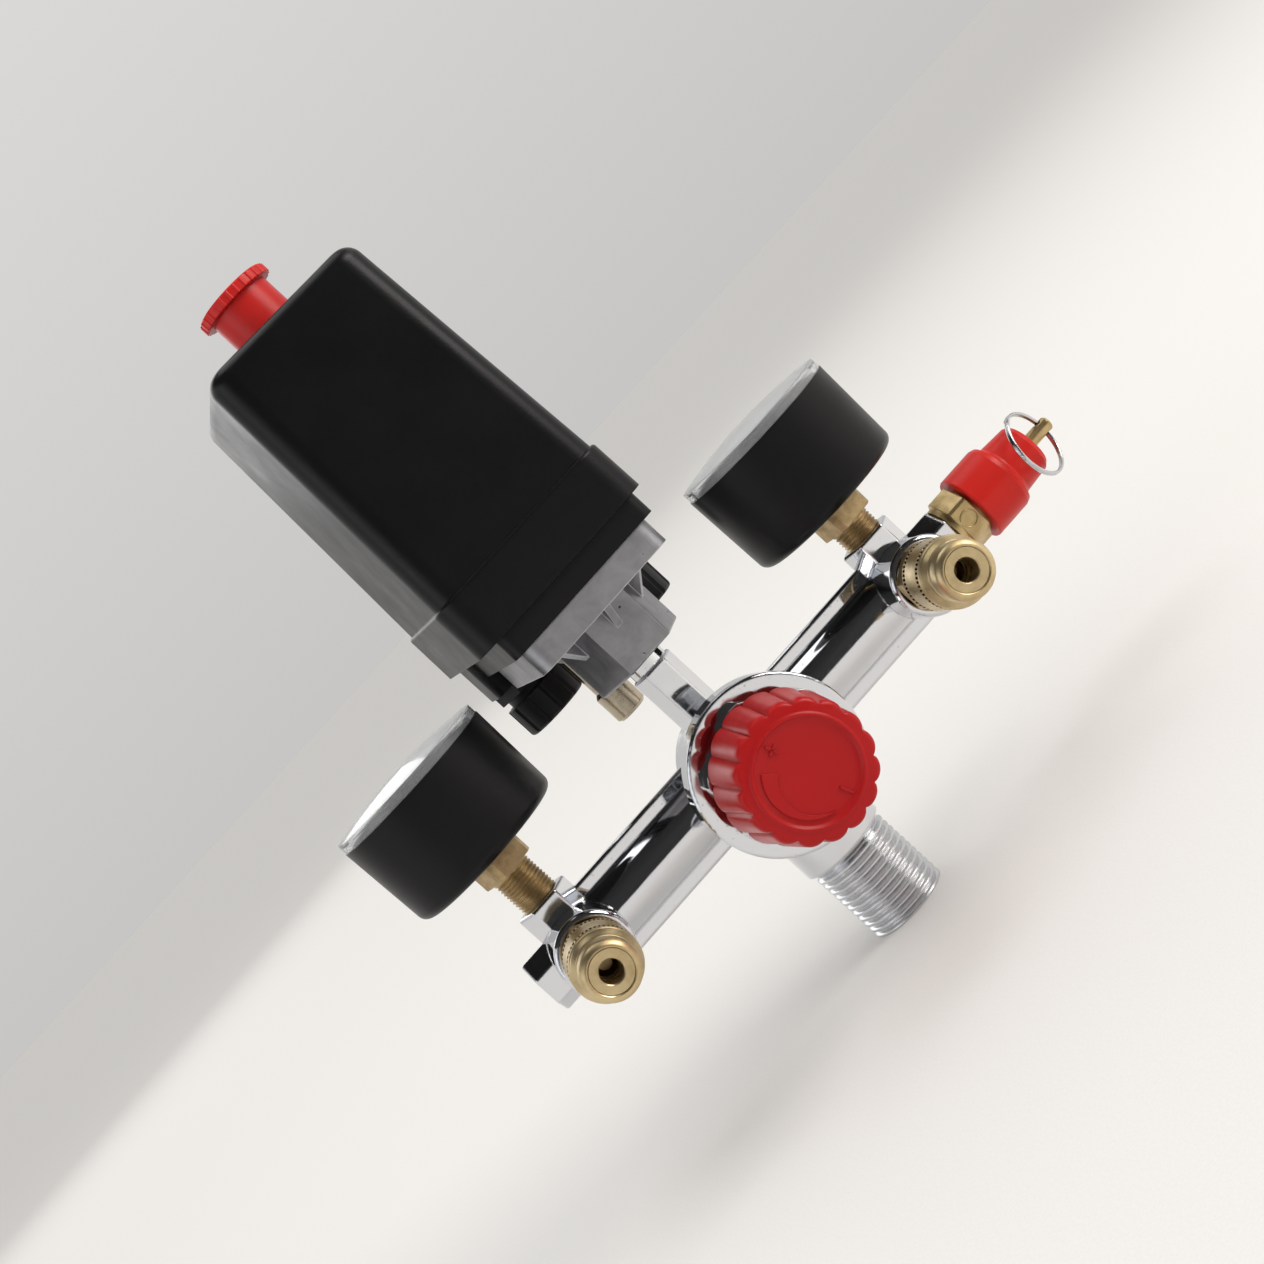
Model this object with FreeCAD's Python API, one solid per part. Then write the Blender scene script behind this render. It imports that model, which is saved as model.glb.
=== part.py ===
"""Air compressor pressure switch on a die-cast manifold, with a pressure regulator, two gauges,
two quick couplers and a safety valve.

Millimetres. +Z is up, from the tank thread to the switch's button. +X runs along the manifold's
arms to the safety valve, and -Y is the front, where the regulator knob and the couplers point.
The origin is on the tank thread's axis, at the thread's end face.
"""
import FreeCAD, Part
import math
import os

Vector = FreeCAD.Vector
X_AXIS = Vector(1, 0, 0)
Y_AXIS = Vector(0, 1, 0)
Z_AXIS = Vector(0, 0, 1)
SIDES = {"left": -1, "right": 1}

# ---- manifold casting
THREAD_R = 10.4775          # G1/2 pipe thread, outside
THREAD_PITCH = 1.814
THREAD_DEPTH = 1.0
THREAD_TURNS = 11
THREAD_TOP = 21.0
COLLAR_R = 11.3             # plain collar above the tank thread
ARM_Z = 50.0                # height of the arms, the regulator and the couplers
PORT_X = 55.4               # coupler and gauge ports, from the tank thread's axis
TUBE_R = 7.4                # round tube of each arm
FIN_HALF = 10.5             # the web above and below each arm's tube
FIN_THICK = 2.4
BOSS_R = 9.3                # coupler bosses
BOSS_FRONT = -19.0
BOSS_BACK = 8.5
PORT_HEX = 12.6             # hexagon of the gauge bosses and the arm ends, across flats
GAUGE_BOSS_TOP = 64.4
ARM_END = 69.8
CHAMBER_R = 16.0            # round body behind the regulator's disc
CHAMBER_BACK = 10.0
DISC_R = 19.9
DISC_BACK = -25.0
DISC_FRONT = -33.8
NECK_HEX = 10.0             # hexagonal neck that carries the switch, across flats
NECK_TOP = 81.0
NECK_THREAD_R = 4.86
NECK_THREAD_TOP = 90.5
QUARTER_THREAD_R = 6.58     # G1/4 thread of the couplers and the safety valve
EIGHTH_THREAD_R = 5.1       # R1/8 thread of the gauges
BORE_R = 3.0
CAST_EDGE_R = 0.7

# ---- regulator
DIAPHRAGM_SEAT = -24.6
DIAPHRAGM_THICK = 1.6
BONNET_THREAD_R = 15.0
BONNET_HEX = 30.2
BONNET_HEX_TURN = 24.5      # degrees
BONNET_FRONT = -40.0
BONNET_BOSS_FRONT = -44.0
SCREW_R = 3.95              # M8 adjusting screw
SPRING_ROOM_R = 11.6        # room for the spring inside the bonnet
SPRING_ROOM_FRONT = -38.2
NUT_PLATE_BACK = -36.2      # at rest, wound right back
NUT_PLATE_TRAVEL = 3.75     # three turns of a 1.25 mm pitch
KNOB_BACK = -40.6
KNOB_FRONT = -62.0
KNOB_BASE_R = 16.5
KNOB_FRONT_R = 15.0
KNOB_LOBES = 16

# ---- quick couplers
COUPLER_FRONT = -46.0
COUPLER_HEX = 13.4          # wrench flats, across flats
COUPLER_HEX_FRONT = -21.8
SLEEVE_R = 8.1
SLEEVE_NOSE_R = 6.7
SLEEVE_BACK = -24.0
SLEEVE_STROKE = 1.8
COUPLER_BORE_R = 2.65
BALL_Y = -40.0
BALL_COUNT = 6

# ---- safety valve
VALVE_HEX = 14.0
PIN_R = 1.8
PIN_END = 105.2
RING_HOLE_X = 103.2
RING_R = 8.3
RING_WIRE_R = 0.7
RING_LEAN = 45.0            # degrees towards the front, resting on the cap

# ---- gauges
GAUGE_R = 21.5
GAUGE_REAR_R = 20.9
GAUGE_DEPTH = 23.4
GAUGE_BASE = {"left": 80.0, "right": 75.3}      # height of each case's underside
GAUGE_SQUARE = 11.0
GAUGE_TURN = {"left": 27.0, "right": 18.0}      # degrees each stem was turned when tightened
DIAL_UP = 18.0
NEEDLE_REST = 225.0         # degrees, where the scale's zero is

# ---- pressure switch, built straight and then turned about its neck
SWITCH_TURN = 6.5           # degrees
FLANGE_BOTTOM = 98.85
FLANGE_TOP = 105.5
FLANGE_X = (-21.2, 19.4)
FLANGE_Y = (-22.0, 23.4)
BLOCK_HEX = 22.1            # hexagonal inlet block, across flats
BLOCK_BOTTOM = 83.7
BASE_X = (-23.2, 21.6)
BASE_Y = (-22.5, 39.5)
SKIRT_BOTTOM = 111.3
SKIRT_TOP = 124.8
COVER_TOP = 193.5
COVER_MID_X = -1.8
COVER_WALL = 2.0
GLAND_X = 16.4
GLAND_Y = 31.5
GLAND_R = 7.0               # thread of the cable glands
GLAND_FLOOR = 100.0
UNLOADER_XY = (-6.8, 17.5)
BUTTON_Y = 3.0
BUTTON_R = 8.0
BUTTON_HEAD_R = 10.0
BUTTON_HEAD_BOTTOM = 203.5
BUTTON_TOP = 206.2
BUTTON_RIBS = 28
TRAY_FLOOR = 108.5
LEVER_PIVOT = Vector(0, 12.5, 115.4)
PLUNGER_TRAVEL = 1.2
POST_Y = 27.0


def bar(start, end, radius):
    """A round bar between two points."""
    along = Vector(*end) - Vector(*start)
    return Part.makeCylinder(radius, along.Length, Vector(*start), along)


def tube(start, end, outer, inner):
    return bar(start, end, outer).cut(bar(start, end, inner))


def block(x_span, y_span, z_span):
    corner = Vector(x_span[0], y_span[0], z_span[0])
    return Part.makeBox(x_span[1] - x_span[0], y_span[1] - y_span[0], z_span[1] - z_span[0], corner)


def joined(shapes):
    """One solid from touching or overlapping shapes."""
    whole = shapes[0]
    for shape in shapes[1:]:
        whole = whole.fuse(shape)
    return whole.removeSplitter()


def without(shape, cutters):
    for cutter in cutters:
        shape = shape.cut(cutter)
    return shape


def prism(start, end, across_flats, sides=6, turn=0.0):
    """A bar of regular section. At no turn, its first corner points along the next axis round."""
    along = Vector(*end) - Vector(*start)
    placement = FreeCAD.Placement(Vector(*start), FreeCAD.Rotation(Z_AXIS, along))
    corner_r = across_flats / 2 / math.cos(math.pi / sides)
    corners = []
    for i in range(sides + 1):
        angle = math.radians(turn) + 2 * math.pi * i / sides
        corners.append(Vector(corner_r * math.cos(angle), corner_r * math.sin(angle), 0))
    solid = Part.Face(Part.makePolygon(corners)).extrude(Vector(0, 0, along.Length))
    solid.Placement = placement
    return solid


def lathe(outline, start, direction):
    """Turn an outline of (radius, distance along the axis) points about an axis."""
    points = [Vector(radius, 0, height) for radius, height in outline]
    face = Part.Face(Part.makePolygon(points + [points[0]]))
    solid = face.revolve(Vector(0, 0, 0), Z_AXIS, 360)
    solid.Placement = FreeCAD.Placement(Vector(*start), FreeCAD.Rotation(Z_AXIS, Vector(*direction)))
    return solid


def coil(start, end, mean_r, wire_r, turns):
    """A compression spring between two points, whose wire stays between them."""
    along = Vector(*end) - Vector(*start)
    height = along.Length - 2 * wire_r
    spine = Part.makeHelix(height / turns, height, mean_r)
    circle = Part.Wire(Part.makeCircle(wire_r, Vector(mean_r, 0, 0), Y_AXIS))
    solid = Part.Wire(spine).makePipeShell([circle], True, True)
    solid.translate(Vector(0, 0, wire_r))
    solid.Placement = FreeCAD.Placement(
        Vector(*start), FreeCAD.Rotation(Z_AXIS, along)).multiply(solid.Placement)
    return solid


def rounded_outline(x_span, y_span, radius, z):
    """A closed wire: a rectangle with round corners, at one height."""
    (x0, x1), (y0, y1) = x_span, y_span
    corners = [(x1 - radius, y1 - radius, 0), (x0 + radius, y1 - radius, 90),
               (x0 + radius, y0 + radius, 180), (x1 - radius, y0 + radius, 270)]
    edges = []
    previous_end = None
    first_start = None
    for x, y, angle in corners:
        points = []
        for step in (0, 45, 90):
            turn = math.radians(angle + step)
            points.append(Vector(x + radius * math.cos(turn), y + radius * math.sin(turn), z))
        if previous_end is not None:
            edges.append(Part.makeLine(previous_end, points[0]))
        else:
            first_start = points[0]
        edges.append(Part.Arc(*points).toShape())
        previous_end = points[2]
    edges.append(Part.makeLine(previous_end, first_start))
    return Part.Wire(edges)


def rounded_block(x_span, y_span, z_span, radius):
    face = Part.Face(rounded_outline(x_span, y_span, radius, z_span[0]))
    return face.extrude(Vector(0, 0, z_span[1] - z_span[0]))


def tapered_block(bottom, top):
    """A loft between two (x_span, y_span, radius, z) outlines."""
    return Part.makeLoft([rounded_outline(*bottom), rounded_outline(*top)], True, True)


def turned(shape, degrees, centre=Vector(0, 0, 0), axis=Z_AXIS):
    copy = shape.copy()
    copy.rotate(centre, axis, degrees)
    return copy


def softened(shape, radius, wanted):
    """Round the edges that a test picks."""
    return shape.makeFillet(radius, [edge for edge in shape.Edges if wanted(edge)])


def at_height(edge, z):
    box = edge.BoundBox
    return abs(box.ZMin - z) < 0.01 and abs(box.ZMax - z) < 0.01


# ------------------------------------------------------------------ manifold and regulator

def cast_prism(start, end, across_flats):
    """A hexagonal bar with the round edges of a casting."""
    bar_shape = prism(start, end, across_flats)
    return bar_shape.makeFillet(CAST_EDGE_R, bar_shape.Edges)


def tank_thread():
    """The outside thread as one turned outline, with a groove for each turn."""
    outline = [(0, 0)]
    land = THREAD_PITCH * 0.3
    for i in range(THREAD_TURNS):
        z = i * THREAD_PITCH
        outline += [(THREAD_R, z), (THREAD_R, z + land),
                    (THREAD_R - THREAD_DEPTH, z + (land + THREAD_PITCH) / 2)]
    outline += [(THREAD_R, THREAD_TOP), (0, THREAD_TOP)]
    return lathe(outline, (0, 0, 0), (0, 0, 1))


def manifold_casting():
    def across(x, y0, y1, radius):
        return bar((x, y0, ARM_Z), (x, y1, ARM_Z), radius)

    solids = [
        tank_thread(),
        bar((0, 0, THREAD_TOP), (0, 0, ARM_Z), COLLAR_R),
        softened(across(0, DISC_BACK, CHAMBER_BACK, CHAMBER_R), 3.0,
                 lambda edge: abs(edge.BoundBox.YMin - CHAMBER_BACK) < 0.01),
        softened(across(0, DISC_FRONT, DISC_BACK, DISC_R), 0.7, lambda edge: len(edge.Vertexes) == 1),
        bar((-PORT_X, 0, ARM_Z), (PORT_X, 0, ARM_Z), TUBE_R),
        softened(block((-PORT_X, PORT_X), (-FIN_THICK / 2, FIN_THICK / 2),
                       (ARM_Z - FIN_HALF, ARM_Z + FIN_HALF)), 0.8, lambda edge: edge.BoundBox.XLength > 1),
        cast_prism((0, 0, ARM_Z), (0, 0, NECK_TOP), NECK_HEX),
        bar((0, 0, NECK_TOP), (0, 0, NECK_THREAD_TOP), NECK_THREAD_R),
    ]
    for side in SIDES.values():
        x = side * PORT_X
        boss = softened(across(x, BOSS_FRONT, BOSS_BACK, BOSS_R), 1.2, lambda edge: len(edge.Vertexes) == 1)
        solids += [boss, cast_prism((x, 0, ARM_Z), (x, 0, GAUGE_BOSS_TOP), PORT_HEX),
                   cast_prism((x, 0, ARM_Z), (side * ARM_END, 0, ARM_Z), PORT_HEX)]
    casting = joined(solids)
    passages = [
        bar((0, 0, -1), (0, 0, 30), 6.0),
        bar((0, 0, 29), (0, 0, NECK_THREAD_TOP + 1), BORE_R),
        bar((0, 0, ARM_Z), (PORT_X, 0, ARM_Z), BORE_R),
        bar((-PORT_X, 0, ARM_Z), (-7, 0, ARM_Z), BORE_R),
        across(0, DISC_FRONT - 1, DIAPHRAGM_SEAT, BONNET_THREAD_R),
        across(0, DIAPHRAGM_SEAT - 1, -16, 12),
        across(0, -17, -2, 4.5),
        across(-9.5, -17, 0, 2.0),
        bar((PORT_X, 0, ARM_Z), (ARM_END + 1, 0, ARM_Z), BORE_R),
        bar((PORT_X + 6, 0, ARM_Z), (ARM_END + 1, 0, ARM_Z), QUARTER_THREAD_R - 0.9),
    ]
    for side in SIDES.values():
        x = side * PORT_X
        passages += [
            bar((x, 0, ARM_Z), (x, 0, GAUGE_BOSS_TOP + 1), 2.0),
            bar((x, 0, 54), (x, 0, GAUGE_BOSS_TOP + 1), EIGHTH_THREAD_R),
            across(x, BOSS_FRONT - 1, 0, BORE_R),
            across(x, BOSS_FRONT - 1, -8.5, QUARTER_THREAD_R),
        ]
    return without(casting, passages)


def key_bar(reach, y_back, y_front, width):
    """A flat bar across the regulator's axis: the nut plate's ears and the grooves they slide in."""
    return block((-reach, reach), (y_front, y_back), (ARM_Z - width / 2, ARM_Z + width / 2))


def regulator_bonnet():
    front = prism((0, DISC_FRONT, ARM_Z), (0, BONNET_FRONT, ARM_Z), BONNET_HEX, turn=BONNET_HEX_TURN)
    crown = bar((0, DISC_FRONT, ARM_Z), (0, BONNET_FRONT, ARM_Z), BONNET_HEX / 2 + 1.7)
    thread = bar((0, DIAPHRAGM_SEAT - DIAPHRAGM_THICK, ARM_Z), (0, DISC_FRONT, ARM_Z), BONNET_THREAD_R)
    boss = bar((0, BONNET_FRONT, ARM_Z), (0, BONNET_BOSS_FRONT, ARM_Z), 6.0)
    bonnet = joined([front.common(crown), thread, boss])
    return without(bonnet, [
        bar((0, DIAPHRAGM_SEAT, ARM_Z), (0, SPRING_ROOM_FRONT, ARM_Z), SPRING_ROOM_R),
        bar((0, DIAPHRAGM_SEAT, ARM_Z), (0, BONNET_BOSS_FRONT - 1, ARM_Z), SCREW_R + 0.05),
        key_bar(12.9, DIAPHRAGM_SEAT, SPRING_ROOM_FRONT, 4.1)])


def regulator_knob():
    """Fluted knob with a dished face and a hollow back that covers the bonnet's boss."""
    face_drop = 0.9
    outline = [(0, KNOB_FRONT + face_drop), (11.0, KNOB_FRONT + face_drop), (11.4, KNOB_FRONT + 0.1),
               (12.0, KNOB_FRONT), (12.5, KNOB_FRONT + 0.35), (KNOB_FRONT_R - 1.2, KNOB_FRONT + 0.45),
               (KNOB_FRONT_R - 0.3, KNOB_FRONT + 0.9), (KNOB_FRONT_R, KNOB_FRONT + 1.8),
               (KNOB_BASE_R, KNOB_BACK), (10.5, KNOB_BACK), (10.5, KNOB_FRONT + 4), (5.6, KNOB_FRONT + 4),
               (5.6, BONNET_BOSS_FRONT - 0.6), (SCREW_R, BONNET_BOSS_FRONT - 0.6),
               (SCREW_R, KNOB_FRONT + 4), (0, KNOB_FRONT + 4)]
    knob = lathe([(radius, -y) for radius, y in outline], (0, 0, ARM_Z), (0, -1, 0))
    groove_r = 1.7
    depth = 0.85
    grooves = []
    for i in range(KNOB_LOBES):
        angle = 2 * math.pi * (i + 0.5) / KNOB_LOBES
        ends = []
        for radius, y in ((KNOB_FRONT_R, KNOB_FRONT - 2), (KNOB_BASE_R + 0.15, KNOB_BACK + 2)):
            reach = radius + groove_r - depth
            ends.append((reach * math.cos(angle), y, ARM_Z + reach * math.sin(angle)))
        grooves.append(bar(ends[0], ends[1], groove_r))
    return without(knob, grooves)


def regulator_nodes():
    z = ARM_Z
    plate_front = DIAPHRAGM_SEAT - DIAPHRAGM_THICK - 1.2
    spring_front = NUT_PLATE_BACK + NUT_PLATE_TRAVEL + 0.15
    seat = without(bar((0, -15.4, z), (0, -4.0, z), 4.5), [
        bar((0, -16, z), (0, -3, z), 1.6),
        bar((0, -12.4, z), (0, -3, z), 3.2)])
    poppet = joined([prism((0, -12.2, z), (0, -9.2, z), 5.44), bar((0, -24.3, z), (0, -12.2, z), 1.2)])
    nut_front = NUT_PLATE_BACK - 1.4
    nut_plate = joined([bar((0, NUT_PLATE_BACK, z), (0, nut_front, z), 10.8),
                        key_bar(12.6, NUT_PLATE_BACK, nut_front, 4.0)])
    nut_plate = nut_plate.cut(bar((0, -30, z), (0, -40, z), SCREW_R + 0.05))
    circlip = bar((0, nut_front - 0.15, z), (0, SPRING_ROOM_FRONT + 0.05, z), 5.4)
    return {
        "regulator_bonnet": regulator_bonnet(),
        "regulator_knob": regulator_knob(),
        "regulator_diaphragm": bar((0, DIAPHRAGM_SEAT, z), (0, DIAPHRAGM_SEAT - DIAPHRAGM_THICK, z), 14.8),
        "diaphragm_plate": bar((0, DIAPHRAGM_SEAT - DIAPHRAGM_THICK, z), (0, plate_front, z), 9.0),
        "regulator_spring": coil((0, plate_front, z), (0, spring_front, z), 7.4, 0.7, 2),
        "nut_plate": nut_plate,
        "adjusting_screw": joined([bar((0, -29.0, z), (0, KNOB_FRONT + 4, z), SCREW_R), circlip]),
        "regulator_valve_seat": seat,
        "regulator_poppet": poppet,
        "poppet_spring": coil((0, -2.0, z), (0, -8.1, z), 2.4, 0.35, 5),
    }


# ------------------------------------------------------------------ quick couplers

def coupler_nodes(name, side):
    x = side * PORT_X

    def turn_part(outline):
        """Outline of (radius, y) turned about the coupler's axis."""
        return lathe([(radius, -y) for radius, y in outline], (x, 0, ARM_Z), (0, -1, 0))

    body_front = COUPLER_FRONT + 0.2
    body = turn_part([(BORE_R - 1, -9.0), (QUARTER_THREAD_R, -9.0), (QUARTER_THREAD_R, BOSS_FRONT),
                      (4.9, BOSS_FRONT), (4.9, body_front + 0.1),
                      (4.8, body_front), (COUPLER_BORE_R + 0.25, body_front),
                      (COUPLER_BORE_R, body_front + 0.25), (COUPLER_BORE_R, -34.0), (3.5, -33.0),
                      (3.5, -12.0), (BORE_R - 1, -12.0)])
    pockets = []
    balls = []
    for i in range(BALL_COUNT):
        angle = 2 * math.pi * (i + 0.5) / BALL_COUNT
        out = Vector(math.cos(angle), 0, math.sin(angle))
        centre = Vector(x, BALL_Y, ARM_Z)
        pockets.append(bar(centre + out * 2.0, centre + out * 5.5, 1.2))
        balls.append(Part.makeSphere(1.12, centre + out * 3.8))
    seal_r = 3.65
    wrench_hex = prism((x, BOSS_FRONT, ARM_Z), (x, COUPLER_HEX_FRONT, ARM_Z), COUPLER_HEX, turn=90)
    wrench_hex = wrench_hex.cut(bar((x, BOSS_FRONT, ARM_Z), (x, COUPLER_HEX_FRONT, ARM_Z), 4.5))
    body = without(joined([body, wrench_hex]), pockets + [
        turn_part([(2, -37.4), (seal_r, -37.4), (seal_r, -36.0), (2, -36.0)])])
    inner_r = 4.95
    sleeve = turn_part([(6.9, SLEEVE_BACK), (SLEEVE_R - 0.4, SLEEVE_BACK), (SLEEVE_R, SLEEVE_BACK - 0.4),
                        (SLEEVE_R, -37.6), (SLEEVE_R - 0.4, -38.0), (SLEEVE_R - 0.4, -38.8),
                        (SLEEVE_R - 0.2, -39.1), (SLEEVE_NOSE_R + 0.35, -43.6),
                        (SLEEVE_NOSE_R - 0.15, -44.0), (SLEEVE_NOSE_R, -44.2),
                        (SLEEVE_NOSE_R, COUPLER_FRONT + 1.2), (5.4, COUPLER_FRONT),
                        (5.2, COUPLER_FRONT), (inner_r, COUPLER_FRONT + 0.2), (inner_r, -37.6),
                        (6.9, -37.6)])
    valve = turn_part([(0, -33.6), (1.6, -33.6), (2.5, -32.8), (3.42, -32.0), (3.42, -29.5), (1.5, -29.5),
                       (1.5, -24.0), (0, -24.0)])
    seal = Part.makeTorus(seal_r - 0.47, 0.45, Vector(x, -36.7, ARM_Z), Y_AXIS)
    nodes = {
        "coupler_body_" + name: body,
        "coupler_sleeve_" + name: sleeve,
        "coupler_valve_" + name: valve,
    }
    shared = {
        "coupler_balls": balls,
        "coupler_seals": [seal],
        "sleeve_springs": [coil((x, COUPLER_HEX_FRONT, ARM_Z), (x, SLEEVE_STROKE - 37.5, ARM_Z), 5.9, 0.55, 6)],
        "coupler_valve_springs": [coil((x, -12.0, ARM_Z), (x, -26.8, ARM_Z), 2.6, 0.4, 8)],
    }
    return nodes, shared


# ------------------------------------------------------------------ safety valve

def safety_valve_nodes():
    def turn_part(outline):
        """Outline of (radius, x) turned about the arm's axis."""
        return lathe(outline, (0, 0, ARM_Z), (1, 0, 0))

    thread_r = QUARTER_THREAD_R - 0.9
    body = joined([
        turn_part([(0, 62.5), (thread_r, 62.5), (thread_r, ARM_END), (6.9, ARM_END), (6.9, 71.2), (0, 71.2)]),
        prism((71.2, 0, ARM_Z), (76.4, 0, ARM_Z), VALVE_HEX).common(
            bar((71.2, 0, ARM_Z), (76.4, 0, ARM_Z), VALVE_HEX / 2 + 0.85)),
        bar((76.4, 0, ARM_Z), (88.0, 0, ARM_Z), 6.2)])
    body = without(body, [bar((60, 0, ARM_Z), (80, 0, ARM_Z), 2.0), bar((78, 0, ARM_Z), (89, 0, ARM_Z), 4.4)])
    cap = turn_part([(6.2, 77.2), (8.9, 77.2), (9.1, 77.6), (9.1, 87.0), (8.7, 88.2), (7.6, 88.8),
                     (7.3, 89.4), (6.8, 96.4), (6.0, 97.5), (PIN_R + 0.05, 97.5), (PIN_R + 0.05, 95.0), (4.6, 95.0),
                     (4.6, 88.0), (6.2, 88.0)])
    stem = joined([
        turn_part([(0, 78.95), (4.32, 78.95), (4.32, 80.4), (PIN_R, 80.4), (PIN_R, PIN_END - 0.4),
                   (PIN_R - 0.4, PIN_END), (0, PIN_END)])])
    stem = stem.cut(bar((RING_HOLE_X, 0, ARM_Z - 3), (RING_HOLE_X, 0, ARM_Z + 3), 1.05))
    seal = bar((78.05, 0, ARM_Z), (78.95, 0, ARM_Z), 3.6)
    ring_centre = Vector(RING_HOLE_X + 0.1 - RING_R, 0, ARM_Z)
    ring = Part.makeTorus(RING_R, RING_WIRE_R, ring_centre, Y_AXIS)
    ring = turned(ring, RING_LEAN, Vector(RING_HOLE_X, 0, ARM_Z))
    return {
        "safety_valve_body": body,
        "safety_valve_cap": cap,
        "safety_valve_stem": stem,
        "safety_valve_seal": seal,
        "safety_valve_spring": coil((80.4 + 2.2, 0, ARM_Z), (95.0, 0, ARM_Z), 3.2, 0.55, 5),
        "pull_ring": ring,
    }


# ------------------------------------------------------------------ gauges

def gauge_nodes(name, side):
    x = side * PORT_X
    base = GAUGE_BASE[name]

    def turn_part(outline):
        """Outline of (radius, height above the case's underside) turned about the gauge's axis."""
        return lathe(outline, (x, 0, base), (0, 0, 1))

    wall = 1.0
    inner_r = GAUGE_REAR_R - wall
    case = turn_part([(5.0, 0), (GAUGE_REAR_R, 0), (GAUGE_R, GAUGE_DEPTH), (20.4, GAUGE_DEPTH),
                      (20.4, DIAL_UP), (19.2, DIAL_UP), (19.2, DIAL_UP - 1), (inner_r, DIAL_UP - 2),
                      (inner_r, 1.2), (5.0, 1.2)])
    case = softened(case, 2.2, lambda edge: at_height(edge, base) and edge.BoundBox.XLength > 30)
    dome_rise = 1.8
    dome_r = (GAUGE_R ** 2 + dome_rise ** 2) / (2 * dome_rise)
    lens_edge = GAUGE_DEPTH + 2.4

    def dome(radius, height, crown_up):
        ball = Part.makeSphere(dome_r, Vector(x, 0, base + crown_up - dome_r))
        return bar((x, 0, base + height), (x, 0, base + crown_up), radius).common(ball)

    lens = joined([dome(GAUGE_R - 0.2, GAUGE_DEPTH, lens_edge + dome_rise),
                   bar((x, 0, base + DIAL_UP + 0.7), (x, 0, base + GAUGE_DEPTH), 20.3)])
    lens = lens.cut(joined([dome(19.4, GAUGE_DEPTH, lens_edge + dome_rise - 1.3),
                            bar((x, 0, base + DIAL_UP), (x, 0, base + GAUGE_DEPTH), 19.4)]))
    dial = tube((x, 0, base + DIAL_UP), (x, 0, base + DIAL_UP + 0.6), 20.2, 2.0)
    square_bottom = base - 6.1
    stem = joined([
        bar((x, 0, square_bottom - 14), (x, 0, square_bottom), EIGHTH_THREAD_R),
        turned(block((x - GAUGE_SQUARE / 2, x + GAUGE_SQUARE / 2), (-GAUGE_SQUARE / 2, GAUGE_SQUARE / 2),
                     (square_bottom, base)), GAUGE_TURN[name], Vector(x, 0, 0)),
        bar((x, 0, base), (x, 0, base + 6), 5.0)])
    floor_cut = 60.0 - 6.0
    stem = stem.common(bar((x, 0, floor_cut), (x, 0, base + 10), 9.0))
    stem = stem.cut(bar((x, 0, floor_cut - 1), (x, 0, base + 4), 1.6))
    movement = joined([
        bar((x, 0, base + 6), (x, 0, base + DIAL_UP - 1.5), 3.0),
        block((x - 1.5, x + 13), (-1.5, 1.5), (base + 7, base + 9.6)),
        block((x + 11, x + 15), (-2.2, 2.2), (base + 6.4, base + 10.2))])
    tube_ring = Part.makeTorus(14.5, 1.7, Vector(x, 0, base + 8.3), Z_AXIS, -180, 180, 290)
    movement = joined([movement, tube_ring])
    movement = movement.cut(bar((x, 0, base + 11), (x, 0, base + DIAL_UP), 0.65))
    hub_up = base + DIAL_UP + 1.4
    needle = joined([
        bar((x, 0, base + 12), (x, 0, hub_up), 0.6),
        bar((x, 0, hub_up), (x, 0, hub_up + 1.0), 2.2),
        block((x - 5, x + 15.5), (-0.5, 0.5), (hub_up + 0.2, hub_up + 0.7))])
    return {
        "gauge_case_" + name: case,
        "gauge_lens_" + name: lens,
        "gauge_dial_" + name: dial,
        "gauge_stem_" + name: stem,
        "gauge_movement_" + name: movement,
        "gauge_needle_" + name: turned(needle, NEEDLE_REST, Vector(x, 0, 0)),
    }


# ------------------------------------------------------------------ pressure switch

def switch_flange():
    """Zinc plate with a hexagonal inlet block below it and a small rib on each of its faces."""
    plate = rounded_block(FLANGE_X, FLANGE_Y, (FLANGE_BOTTOM, FLANGE_TOP), 4.0)
    inlet = prism((0, 0, BLOCK_BOTTOM), (0, 0, FLANGE_BOTTOM), BLOCK_HEX, turn=0)
    inlet = softened(inlet, 0.6, lambda edge: not at_height(edge, FLANGE_BOTTOM))
    rib_reach = 5.0
    rib_drop = 5.6
    face = BLOCK_HEX / 2
    rib = Part.Face(Part.makePolygon([
        Vector(0, -face + 1, FLANGE_BOTTOM), Vector(0, -face - rib_reach, FLANGE_BOTTOM),
        Vector(0, -face, FLANGE_BOTTOM - rib_drop), Vector(0, -face + 1, FLANGE_BOTTOM - rib_drop),
        Vector(0, -face + 1, FLANGE_BOTTOM)])).extrude(Vector(1.8, 0, 0))
    rib.translate(Vector(-0.9, 0, 0))
    ribs = [turned(rib, 60 * i) for i in range(6)]
    casting = joined([plate, inlet] + ribs)
    holes = [bar((0, 0, BLOCK_BOTTOM - 1), (0, 0, NECK_THREAD_TOP), NECK_THREAD_R),
             bar((0, 0, NECK_THREAD_TOP), (0, 0, FLANGE_TOP), 2.5),
             bar((0, 0, 102.5), (0, 0, FLANGE_TOP), 13.0)]
    holes += [bar((x, y, 100.5), (x, y, FLANGE_TOP), 1.9) for x, y in flange_screw_places()]
    holes.append(bar((*UNLOADER_XY, FLANGE_BOTTOM), (*UNLOADER_XY, 101.5), 2.4))
    return without(casting, holes)


def flange_screw_places():
    return [(-17.5, -16), (15.0, -16), (-17.5, 19.4), (15.0, 19.4)]


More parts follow.
